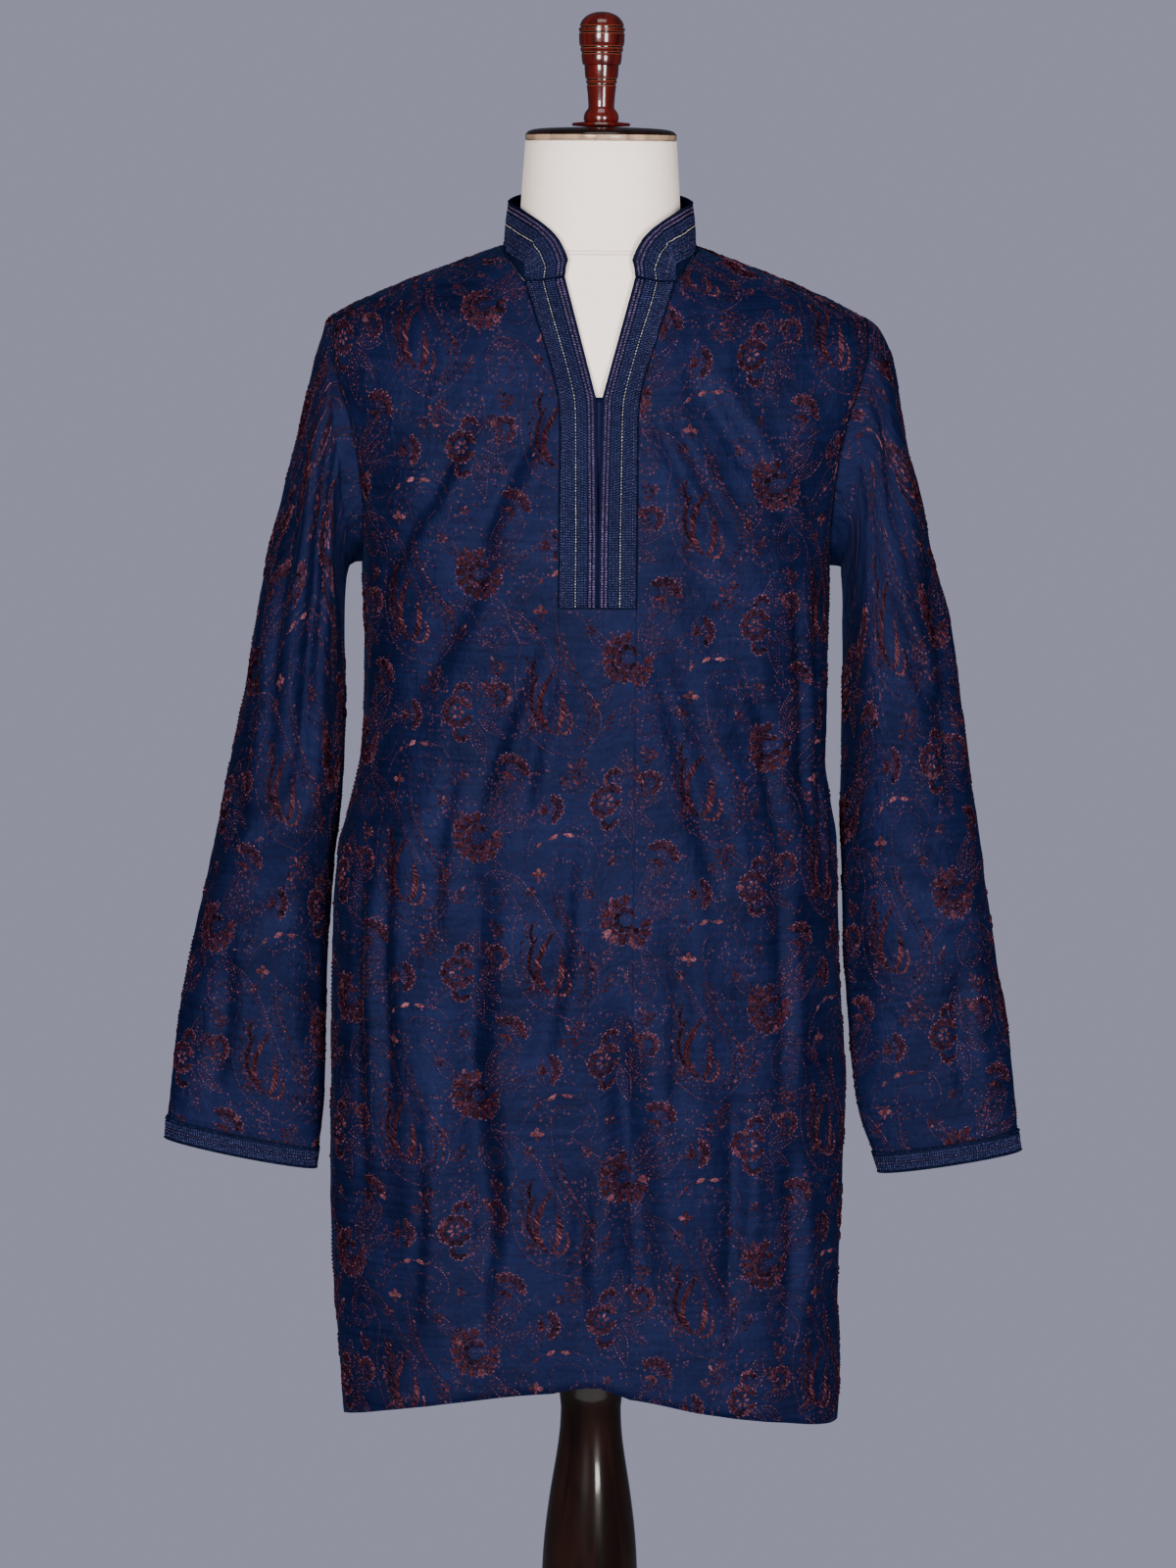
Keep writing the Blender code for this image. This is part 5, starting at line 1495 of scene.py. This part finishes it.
def whole_repeat():
    marks = rosette(0, 0) + fan_blossom(27, 54, 1.05, 10.5, 7, 20) + fan_blossom(57, 25, 0.05, 9.0, 7, 14)
    marks += lotus(112, 30) + scroll() + paisley()
    for place in ((-26, -30), (20, -72), (84, 62), (104, -60), (-30, 28), (6, -88), (70, 46), (108, -20)):
        marks += small_flower(*place) + seeds(*place, 0.8 * place[0], ((6.5, 3), (9.5, 4)), 0.8, 2.4, 1.3, 0.4)
    marks += sprig(88, 40, 2.2, 20) + sprig(100, -70, 1.2, 18) + sprig(20, -84, 2.0, 17) + sprig(-20, -58, 1.1, 16)
    marks += sprig(38, 84, 0.6, 17) + sprig(16, -110, 1.8, 15)
    marks += running([(22, -14), (34, -12), (40, -6), (50, 12)], 0.35) + running([(38, 42), (30, 60), (40, 76)], 0.35)
    for base, tip, width in (((-18, 12), (-34, 34), 9), ((12, -16), (26, -40), 9), ((96, 46), (78, 62), 8), ((-12, -18), (-30, -40), 8)):
        marks += leaf(base, tip, width, 5, 0.45)
    marks += running([(84, 4), (92, 14), (100, 26)], 0.35) + running([(-16, 16), (-28, 26), (-40, 22)], 0.3)
    return np.array(marks, float)


repeat = whole_repeat()
print("stitches in a repeat:", len(repeat), "of which petals:", int((repeat[:, 5] == PETAL).sum()))

# %% The lattice that repeats the chart over a piece
REPEAT_ACROSS, REPEAT_UP = (0.120, -0.070), (0.0, 0.210)


def all_over(low, high, start, seed):
    """The chart on every lattice place that reaches the rectangle from low to high, in metres."""
    chart = repeat.copy()
    chart[:, [0, 1, 3, 4]] /= 1000
    found = []
    for i in range(-9, 10):
        for j in range(-14, 15):
            tile = chart.copy()
            tile[:, 0] += start[0] + i * REPEAT_ACROSS[0] + j * REPEAT_UP[0]
            tile[:, 1] += start[1] + i * REPEAT_ACROSS[1] + j * REPEAT_UP[1]
            found.append(tile[(tile[:, 0] > low[0]) & (tile[:, 0] < high[0]) & (tile[:, 1] > low[1]) & (tile[:, 1] < high[1])])
    found = np.concatenate(found)
    chance = np.random.default_rng(seed)
    found[:, 6] = np.clip(found[:, 6] + chance.normal(0, 0.16, len(found)), 0, 1.2)
    found[:, 2] += chance.normal(0, 0.05, len(found))
    return found


# Tone 0 is the maroon thread darkened as painted shade, tone 0.6 is the thread's own maroon, and tone 1.2 is a painted
# highlight in pink.
SHADED_MAROON, MAROON, HIGHLIGHT_PINK = (0.0070, 0.0024, 0.0060), (0.043, 0.0108, 0.0205), (0.185, 0.064, 0.086)


def dyes_with_painted_light(tone):
    """Thread colours from maroon darkened as painted shade at tone 0 to a painted pink highlight at tone 1.2."""
    return np.stack([np.interp(tone, (0, 0.6, 1.2), line) for line in zip(SHADED_MAROON, MAROON, HIGHLIGHT_PINK)], axis=-1)


front_chart = all_over((-0.27, 0.47), (0.27, 1.50), (-0.095, 0.988), 1)
under_band = (front_chart[:, 1] > BAND_END_Z - 0.001) & (
    np.abs(front_chart[:, 0]) < smooth(BAND_OUTER, front_chart[:, 1], 1) + 0.0005
)
front_chart = front_chart[~under_band]
back_chart = all_over((-0.27, 0.47), (0.27, 1.50), (-0.062, 1.030), 2)
left_chart = all_over((-0.24, 0.735), (0.24, 1.46), (0.030, 0.900), 3)
right_chart = all_over((-0.24, 0.735), (0.24, 1.46), (-0.050, 0.940), 4)
# The cloth is bunched under the arm, and its stitches would smear there.
left_chart, right_chart = (c[(np.abs(c[:, 0]) < 0.142) | (c[:, 1] < 1.14)] for c in (left_chart, right_chart))
print("stitches on the front:", len(front_chart), "back:", len(back_chart), "sleeves:", len(left_chart), len(right_chart))

# %% [markdown]
# ## Laying stitches on the cloth with Geometry Nodes
#
# The tree takes a cloud of points that carry their turn, length, width, lift, kind and colour,
# which on the embroidery holds painted highlight and painted shade. It sets a grain or a petal on
# each, makes them real, looks up where every corner lies on the cloth through the flat cut, and
# moves the corner there, with its height along the cloth's normal.
# Corners that miss the cloth are dropped, as stitches end at a seam.


# %% The two small meshes
def stitch_mesh(name, stations):
    """A low ridge along X from -0.5 to 0.5: stations are a place, a half-width and a height."""
    points, faces, along = [], [], []
    rings = []
    for place, half, rise in stations:
        ring = [(place, 0, rise)] if half == 0 else [(place, -half, 0), (place, 0, rise), (place, half, 0)]
        rings.append([len(points) + number for number in range(len(ring))])
        points += ring
        along += [(place + 0.5, 0.5)] if half == 0 else [(place + 0.5, 0), (place + 0.5, 0.5), (place + 0.5, 1)]
    for a, b in zip(rings, rings[1:]):
        if len(a) == 1:
            faces += [(a[0], b[0], b[1]), (a[0], b[1], b[2])]
        elif len(b) == 1:
            faces += [(a[0], b[0], a[1]), (a[1], b[0], a[2])]
        else:
            faces += [(a[0], b[0], b[1], a[1]), (a[1], b[1], b[2], a[2])]
    mesh = bpy.data.meshes.new(name)
    mesh.from_pydata(points, [], faces)
    layer = mesh.uv_layers.new(name="thread")
    for loop in mesh.loops:
        layer.data[loop.index].uv = along[loop.vertex_index]
    mesh.shade_smooth()
    return bpy.data.objects.new(name, mesh)


grain_stitch = stitch_mesh("grain_stitch", ((-0.5, 0, 0.1), (0.0, 0.5, 1.0), (0.5, 0, 0.1)))
petal_stitch = stitch_mesh("petal_stitch", ((-0.5, 0, 0.2), (-0.2, 0.36, 0.9), (0.14, 0.5, 1.0), (0.5, 0, 0.25)))
print("faces of a grain and a petal:", len(grain_stitch.data.polygons), len(petal_stitch.data.polygons))

# %% The tree that sets and lays the stitches
lay = bpy.data.node_groups.new("lay_stitches", "GeometryNodeTree")
lay.interface.new_socket(name="Points", in_out="INPUT", socket_type="NodeSocketGeometry")
for label, kind in (
    ("Grain", "NodeSocketObject"), ("Petal", "NodeSocketObject"), ("Cloth", "NodeSocketObject"),
    ("Sink", "NodeSocketFloat"), ("Thread", "NodeSocketMaterial"),
):
    lay.interface.new_socket(name=label, in_out="INPUT", socket_type=kind)
lay.interface.new_socket(name="Stitches", in_out="OUTPUT", socket_type="NodeSocketGeometry")
given, result = lay.nodes.new("NodeGroupInput"), lay.nodes.new("NodeGroupOutput")


def kept(tree, name, kind="FLOAT"):
    made = put(tree, "GeometryNodeInputNamedAttribute", data_type=kind)
    made.inputs["Name"].default_value = name
    return made.outputs["Attribute"]


turned_by = put(lay, "ShaderNodeCombineXYZ", {"Z": kept(lay, "turn")}).outputs[0]
rotation = put(lay, "FunctionNodeEulerToRotation", {0: turned_by}).outputs[0]
scale = put(lay, "ShaderNodeCombineXYZ", {"X": kept(lay, "length"), "Y": kept(lay, "width"), "Z": kept(lay, "lift")})
layers = []
for label, kind in (("Grain", GRAIN), ("Petal", PETAL)):
    shape = put(lay, "GeometryNodeObjectInfo", {"Object": given.outputs[label]}).outputs["Geometry"]
    chosen = put(lay, "FunctionNodeCompare", {0: kept(lay, "kind"), 1: float(kind)}, operation="EQUAL").outputs[0]
    feeds = {"Points": given.outputs["Points"], "Selection": chosen, "Instance": shape}
    feeds |= {"Rotation": rotation, "Scale": scale.outputs[0]}
    layers.append(put(lay, "GeometryNodeInstanceOnPoints", feeds).outputs[0])
joined = lay.nodes.new("GeometryNodeJoinGeometry")
for layer in layers:
    lay.links.new(layer, joined.inputs[0])
real = put(lay, "GeometryNodeRealizeInstances", {0: joined.outputs[0]}).outputs[0]
position = put(lay, "GeometryNodeInputPosition").outputs[0]
axes = put(lay, "ShaderNodeSeparateXYZ", {0: position})
in_cut = put(
    lay, "ShaderNodeCombineXYZ",
    {
        "X": sum_of(lay, "MULTIPLY_ADD", axes.outputs["X"], CUT_SCALE, CUT_MIDDLE),
        "Y": sum_of(lay, "MULTIPLY", axes.outputs["Y"], CUT_SCALE),
    },
).outputs[0]
cloth = put(lay, "GeometryNodeObjectInfo", {"Object": given.outputs["Cloth"]}).outputs["Geometry"]
looked = []
for value in (position, put(lay, "GeometryNodeInputNormal").outputs[0]):
    feeds = {"Mesh": cloth, "Source UV Map": kept(lay, "cut", "FLOAT_VECTOR"), "Sample UV": in_cut}
    found = put(lay, "GeometryNodeSampleUVSurface", feeds, data_type="FLOAT_VECTOR")
    socket = next(s for s in found.inputs if s.enabled and s.name == "Value")
    lay.links.new(value, socket)
    looked.append(found)
place, normal = (next(s for s in found.outputs if s.enabled and s.name == "Value") for found in looked)
unit = put(lay, "ShaderNodeVectorMath", {0: normal}, operation="NORMALIZE").outputs[0]
rise = sum_of(lay, "SUBTRACT", axes.outputs["Z"], given.outputs["Sink"])
offset = put(lay, "ShaderNodeVectorMath", {0: unit, "Scale": rise}, operation="SCALE").outputs[0]
onto = put(lay, "ShaderNodeVectorMath", {0: place, 1: offset}, operation="ADD").outputs[0]
keep = put(lay, "FunctionNodeBooleanMath", {0: looked[0].outputs["Is Valid"]}, operation="NOT").outputs[0]
store = put(lay, "GeometryNodeStoreNamedAttribute", {"Geometry": real, "Name": "missed"}, data_type="FLOAT", domain="POINT")
lay.links.new(keep, next(s for s in store.inputs if s.enabled and s.name == "Value"))
moved = put(lay, "GeometryNodeSetPosition", {"Geometry": store.outputs[0], "Position": onto}).outputs[0]
missed = put(lay, "FunctionNodeCompare", {0: kept(lay, "missed"), 1: 0.5}, operation="GREATER_THAN").outputs[0]
whole = put(lay, "GeometryNodeDeleteGeometry", {"Geometry": moved, "Selection": missed}, domain="POINT").outputs[0]
dyed = put(lay, "GeometryNodeSetMaterial", {"Geometry": whole, "Material": given.outputs["Thread"]}).outputs[0]
lay.links.new(dyed, result.inputs[0])
print("nodes in the tree:", len(lay.nodes))


# %% Running the tree on a piece
GRAIN_LIFT, PETAL_LIFT, SINK = 0.00075, 0.00120, 0.00012
embroidery_of = {}


def stitch_on(cloth_object, name, chart, colours, sink=SINK):
    """A mesh of the chart's stitches, laid on the cloth."""
    mesh = bpy.data.meshes.new(name)
    mesh.from_pydata([(x, y, 0) for x, y in chart[:, :2]], [], [])
    lift = np.where(chart[:, 5] == PETAL, PETAL_LIFT, GRAIN_LIFT)
    columns = {"turn": chart[:, 2], "length": chart[:, 3], "width": chart[:, 4], "kind": chart[:, 5], "lift": lift}
    for label, values in columns.items():
        mesh.attributes.new(label, "FLOAT", "POINT").data.foreach_set("value", values.astype(np.float32))
    # The colour kept on each stitch is its dye; on the embroidery it also carries painted highlight and painted shade.
    dye_with_painted_light = np.concatenate([colours, np.ones((len(colours), 1))], axis=1).astype(np.float32)
    mesh.attributes.new("dye_with_painted_light", "FLOAT_COLOR", "POINT").data.foreach_set("color", dye_with_painted_light.ravel())
    made = plain_object(name, mesh)
    modifier = made.modifiers.new("lay", "NODES")
    modifier.node_group = lay
    values = {"Grain": grain_stitch, "Petal": petal_stitch, "Cloth": cloth_object, "Sink": sink, "Thread": thread}
    for item in lay.interface.items_tree:
        if item.name in values:
            modifier[item.identifier] = values[item.name]
    graph = bpy.context.evaluated_depsgraph_get()
    baked = bpy.data.meshes.new_from_object(made.evaluated_get(graph), preserve_all_data_layers=True, depsgraph=graph)
    made.modifiers.clear()
    made.data = baked
    for label in (*columns, "missed"):
        if label in baked.attributes:
            baked.attributes.remove(baked.attributes[label])
    embroidery_of.setdefault(cloth_object, []).append(made)
    print(name, "has", len(baked.polygons), "faces")
    return made


for cloth_object, name, chart in (
    (front, "front_embroidery", front_chart),
    (back, "back_embroidery", back_chart),
    (left_sleeve, "left_sleeve_embroidery", left_chart),
    (right_sleeve, "right_sleeve_embroidery", right_chart),
):
    stitch_on(cloth_object, name, chart, dyes_with_painted_light(chart[:, 6]))

# %% [markdown]
# ## Stitching on the collar, the bands and the cuffs
#
# The trim is worked in rows that run side by side: mauve braid next to the opening, columns of
# pale blue chevrons, a dotted metal thread between them, and a corded outer edge. The same tree
# lays them. A chart for trim is made from lines at given distances from an edge, and each kind of
# row puts its own stitches along its line.

# %% Kinds of rows
PALE_BLUE, MAUVE, METAL, CORD, HEM_NAVY = (
    (0.044, 0.048, 0.125), (0.110, 0.072, 0.140), (0.430, 0.400, 0.340), (0.006, 0.010, 0.034), (0.020, 0.032, 0.095)
)
# kind: pitch, then stitches: shift across, turn, length, width, mark
ROW_KINDS = {
    "chevron": (PALE_BLUE, 1.9, ((0.55, -0.75, 1.75, 0.75, GRAIN), (-0.55, 0.75, 1.75, 0.75, GRAIN))),
    "braid": (MAUVE, 2.0, ((0.35, -0.60, 2.10, 1.00, GRAIN), (-0.35, 0.60, 2.10, 1.00, GRAIN))),
    "dotted metal": (METAL, 2.2, ((0.0, 0.0, 1.70, 1.05, PETAL),)),
    "dashed": (MAUVE, 2.6, ((0.0, 0.0, 2.00, 0.80, GRAIN),)),
    "cord": (CORD, 1.8, ((0.0, 0.0, 2.60, 1.90, PETAL),)),
    "hem": (HEM_NAVY, 3.0, ((0.0, 0.0, 2.30, 0.75, GRAIN),)),
}
# distance from the opening's edge in millimetres, kind
BAND_LAYOUT = (
    (3.2, "braid"), (6.2, "braid"), (9.6, "chevron"), (12.2, "chevron"), (14.8, "chevron"), (17.4, "dotted metal"),
    (19.8, "chevron"), (22.3, "chevron"), (24.8, "chevron"), (26.8, "dashed"), (28.6, "chevron"), (30.4, "cord"),
)
COLLAR_LAYOUT = ((0.9, "cord"),) + BAND_LAYOUT[:-1] + ((31.4, "chevron"), (34.0, "chevron"))
CUFF_LAYOUT = ((0.9, "cord"), (3.6, "chevron"), (6.2, "chevron"), (8.6, "dashed"), (11.0, "chevron"), (13.6, "chevron"))
print("kinds of rows:", ", ".join(ROW_KINDS))


# %% Charts from rows
def along_line(points, kind, chance):
    """The stitches of a row on a line of points, in metres, and their dyes."""
    colour, pitch, marks = ROW_KINDS[kind]
    steps = np.linalg.norm(np.diff(points, axis=0), axis=1)
    jumps = np.flatnonzero(steps > 0.004)
    found, dyes_found = [], []
    for part in np.split(points, jumps + 1):
        if len(part) < 4:
            continue
        run = np.concatenate([[0.0], np.cumsum(np.linalg.norm(np.diff(part, axis=0), axis=1))])
        at = np.arange(pitch / 2000, run[-1], pitch / 1000)
        x, y = (np.interp(at, run, part[:, axis]) for axis in (0, 1))
        ahead = [np.interp(at + 0.0006, run, part[:, axis]) for axis in (0, 1)]
        behind = [np.interp(at - 0.0006, run, part[:, axis]) for axis in (0, 1)]
        turn = np.arctan2(ahead[1] - behind[1], ahead[0] - behind[0])
        for shift, tilt, length, width, mark in marks:
            rows_of = np.zeros((len(at), 7))
            rows_of[:, 0] = x - np.sin(turn) * shift / 1000
            rows_of[:, 1] = y + np.cos(turn) * shift / 1000
            rows_of[:, 2] = turn + tilt + chance.normal(0, 0.06, len(at))
            rows_of[:, 3], rows_of[:, 4], rows_of[:, 5] = length / 1000, width / 1000, mark
            found.append(rows_of)
            dyes_found.append(np.array(colour) * chance.uniform(0.65, 1.35, (len(at), 1)))
    return found, dyes_found


def chart_of(lines, seed):
    """One chart from pairs of a line and a kind."""
    chance, marks, colours = np.random.default_rng(seed), [], []
    for points, kind in lines:
        found, dyes_found = along_line(np.array(points, float), kind, chance)
        marks += found
        colours += dyes_found
    return np.concatenate(marks), np.concatenate(colours)


def straight(a, b):
    return mix(np.array(a, float), np.array(b, float), np.linspace(0, 1, 200)[:, None])


def inset_line(edge, distance):
    """The line at a distance inside an edge, without the parts that fold back at corners."""
    run = np.concatenate([[0.0], np.cumsum(np.linalg.norm(np.diff(edge, axis=0), axis=1))])
    at = np.linspace(0, run[-1], 2400)
    dense = np.stack([np.interp(at, run, edge[:, axis]) for axis in (0, 1)], axis=-1)
    step = np.gradient(dense, axis=0)
    step /= np.linalg.norm(step, axis=1, keepdims=True)
    moved = dense + distance * np.stack([step[:, 1], -step[:, 0]], axis=-1)
    gaps = np.linalg.norm(moved[:, None] - dense[None, ::4], axis=-1).min(axis=1)
    return moved[(gaps > distance - 0.0002) & (moved[:, 1] > 0.0012)]


# %% Rows on each piece of trim
for side, word in ((-1, "left"), (1, "right")):
    flat = band_grid(side)[1]
    low, high = flat[0, 0, 1] + 0.0010, flat[-1, 0, 1] - 0.0008
    lines = [(straight((side * d / 1000, low), (side * d / 1000, high)), kind) for d, kind in BAND_LAYOUT]
    lines.append((straight((side * 0.0004, low + 0.0002), (side * 0.0308, low + 0.0002)), "cord"))
    chart, colours = chart_of(lines, 20 + side)
    stitch_on(bands[side], "placket_stitching_" + word, chart, colours, sink=-BAND_WALL)
    flat = cuff_grid(side)[1]
    left_end, right_end = flat[0, 0, 0] + 0.0004, flat[0, -1, 0] - 0.0004
    top = flat[-1, :, 1].min() - 0.0010
    lines = [(straight((left_end, CUFF_Z + d / 1000), (right_end, CUFF_Z + d / 1000)), kind) for d, kind in CUFF_LAYOUT]
    lines.append((straight((left_end, top), (right_end, top)), "cord"))
    chart, colours = chart_of(lines, 30 + side)
    stitch_on(cuffs[side], "cuff_stitching_" + word, chart, colours, sink=-BAND_WALL)

flat = collar_flat[1]
top_edge = flat[-1]
edge = np.concatenate([[(top_edge[0, 0], 0.0)], top_edge, [(top_edge[-1, 0], 0.0)]])
lines = [(inset_line(edge, d / 1000), kind) for d, kind in COLLAR_LAYOUT]
lines.append((straight((edge[0, 0] + 0.0005, 0.0009), (edge[-1, 0] - 0.0005, 0.0009)), "cord"))
chart, colours = chart_of(lines, 40)
stitch_on(collar, "collar_stitching", chart, colours)

# %% The hem line
HEM_LINE = 0.024  # above the edge, where the hem is turned up
for cloth_object, name, is_back in ((front, "front_hem_stitching", False), (back, "back_hem_stitching", True)):
    edge = np.concatenate([halves[is_back, side][1][0] for side in (-1, 1)])
    edge = edge[np.argsort(edge[:, 0])] + (0.0, HEM_LINE)
    chart, colours = chart_of([(edge, "hem")], 50 + is_back)
    stitch_on(cloth_object, name, chart, colours)

# %% Walls of the cloth pieces
for piece in (front, back, left_sleeve, right_sleeve, underlap):
    add_wall(piece, CLOTH)
add_wall(collar, COLLAR_WALL)
for piece in (*bands.values(), *cuffs.values()):
    add_wall(piece, BAND_WALL, outward=True)
print("wall of the body cloth:", CLOTH * 1000, "mm")

# %% [markdown]
# ## Stage, lights and camera
#
# The backdrop is only the colour of the world, so that a view from any side is free. The floor is
# a plain pale disc. Soft area lights stand left, right and above, and the camera has the
# photograph's height, tilt and reach.

# %% Floor and world
FLOOR_RADIUS = 1.15
floor_mesh = bpy.data.meshes.new("floor")
floor_shape = bmesh.new()
bmesh.ops.create_circle(floor_shape, cap_ends=True, radius=FLOOR_RADIUS, segments=96)
floor_shape.to_mesh(floor_mesh)
floor_shape.free()
floor = plain_object("floor", floor_mesh)
floor.data.transform(Matrix.Translation((0, 0, -0.001)))
world = bpy.data.worlds.new("studio")
world.use_nodes = True
seen = world.node_tree.nodes["Background"]
seen.inputs["Color"].default_value = (0.292, 0.290, 0.398, 1)
lighting = put(world.node_tree, "ShaderNodeBackground", {"Color": (0.30, 0.32, 0.40, 1), "Strength": 0.22})
to_eye = put(world.node_tree, "ShaderNodeLightPath").outputs["Is Camera Ray"]
both = put(world.node_tree, "ShaderNodeMixShader", {0: to_eye, 1: lighting.outputs[0], 2: seen.outputs[0]})
world.node_tree.links.new(both.outputs[0], world.node_tree.nodes["World Output"].inputs["Surface"])
bpy.context.scene.world = world


# %% Lights and camera
def softbox(name, place, target, size, power, colour):
    lamp = bpy.data.lights.new(name, "AREA")
    lamp.shape, lamp.size, lamp.size_y = "RECTANGLE", *size
    lamp.energy, lamp.color = power, colour
    made = bpy.data.objects.new(name, lamp)
    made.location = place
    made.rotation_euler = (Vector(target) - Vector(place)).to_track_quat("-Z", "Y").to_euler()
    bpy.context.scene.collection.objects.link(made)


softbox("softbox_key", (-1.1, -3.9, 1.9), (0, 0, 1.0), (1.1, 1.5), 290, (1.0, 0.98, 0.95))
softbox("softbox_fill", (1.5, -3.6, 1.5), (0, 0, 1.0), (0.9, 1.8), 215, (1.0, 0.98, 0.97))
softbox("softbox_top", (0.0, -0.9, 3.4), (0, 0, 1.1), (1.3, 0.8), 14, (1.0, 1.0, 1.0))
softbox("softbox_back", (0.2, 3.2, 1.6), (0, 0, 1.0), (1.6, 1.8), 230, (0.97, 0.98, 1.0))
# Seen past the edges, this one would draw white lines on the cloth, so only its soft light counts.
bpy.data.objects["softbox_back"].visible_glossy = False

FRAME_HEIGHT, FOCAL_PIXELS = 1600, 5035
lens = bpy.data.cameras.new("camera")
lens.sensor_fit, lens.sensor_height = "VERTICAL", 24.0
lens.lens = lens.sensor_height * FOCAL_PIXELS / FRAME_HEIGHT
camera = bpy.data.objects.new("camera", lens)
bpy.context.scene.collection.objects.link(camera)
pitch, roll = math.atan(0.4805 / 4.0), math.radians(0.45)
aim = Matrix.Rotation(math.pi / 2 - pitch, 4, "X") @ Matrix.Rotation(roll, 4, "Z")
camera.matrix_world = Matrix.Translation((-0.0064, -4.0, 1.50)) @ aim
bpy.context.scene.camera = camera
print("lens:", round(lens.lens, 2), "mm")

# %% Which piece stands for which solid
STANDS_FOR = (
    (front, "kurta_front", "navy_satin"),
    (back, "kurta_back", "navy_satin"),
    (left_sleeve, "sleeve_left", "navy_satin"),
    (right_sleeve, "sleeve_right", "navy_satin"),
    (underlap, "placket_underlap", "navy_satin"),
    (collar, "collar", "stitched_trim"),
    (bands[-1], "placket_band_left", "stitched_trim"),
    (bands[1], "placket_band_right", "stitched_trim"),
    (cuffs[-1], "cuff_left", "stitched_trim"),
    (cuffs[1], "cuff_right", "stitched_trim"),
    (torso, "form_torso", "cream_linen"),
    (finial, "finial", "mahogany"),
    (neck_cap, "neck_cap", "dark_wood"),
    (column, "column", "dark_wood"),
    (base, "base", "dark_wood"),
)
for piece, node, slot in STANDS_FOR:
    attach(piece, "root")
    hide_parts(node)
for stitched, layers in embroidery_of.items():
    slot = "navy_satin" if stitched in (front, back, left_sleeve, right_sleeve) else "stitched_trim"
    for layer in layers:
        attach(layer, "root")


# %% What each sheet was cut to
def flat_cut_of(obj):
    """Width, length and area of the piece's flat cut in metres, from its UV map."""
    obj.data.calc_loop_triangles()
    place = np.empty(len(obj.data.loops) * 2, np.float32)
    obj.data.uv_layers["cut"].data.foreach_get("uv", place)
    place = place.reshape(-1, 2) / CUT_SCALE
    corners = place[[tuple(triangle.loops) for triangle in obj.data.loop_triangles]]
    a, b = corners[:, 1] - corners[:, 0], corners[:, 2] - corners[:, 0]
    width, length = (math.ceil(float(side) * 1000) / 1000 for side in place.max(axis=0) - place.min(axis=0))
    return width, length, float(np.abs(a[:, 0] * b[:, 1] - a[:, 1] * b[:, 0]).sum() / 2)


SHEETS = (
    (front, "draped", ["form_torso"]),
    (back, "draped", ["form_torso"]),
    (left_sleeve, "draped", ["form_torso"]),
    (right_sleeve, "draped", ["form_torso"]),
    (collar, "stretched", ["form_torso"]),
    (bands[-1], "laid", [front.name]),
    (bands[1], "laid", [front.name]),
    (cuffs[-1], "laid", [left_sleeve.name]),
    (cuffs[1], "laid", [right_sleeve.name]),
    (underlap, "laid", [front.name]),
)
for piece, held, rests_on in SHEETS:
    width, length, area = flat_cut_of(piece)
    print(piece.name, "cut", width, "by", length, "m, area", round(area, 4), "m2")
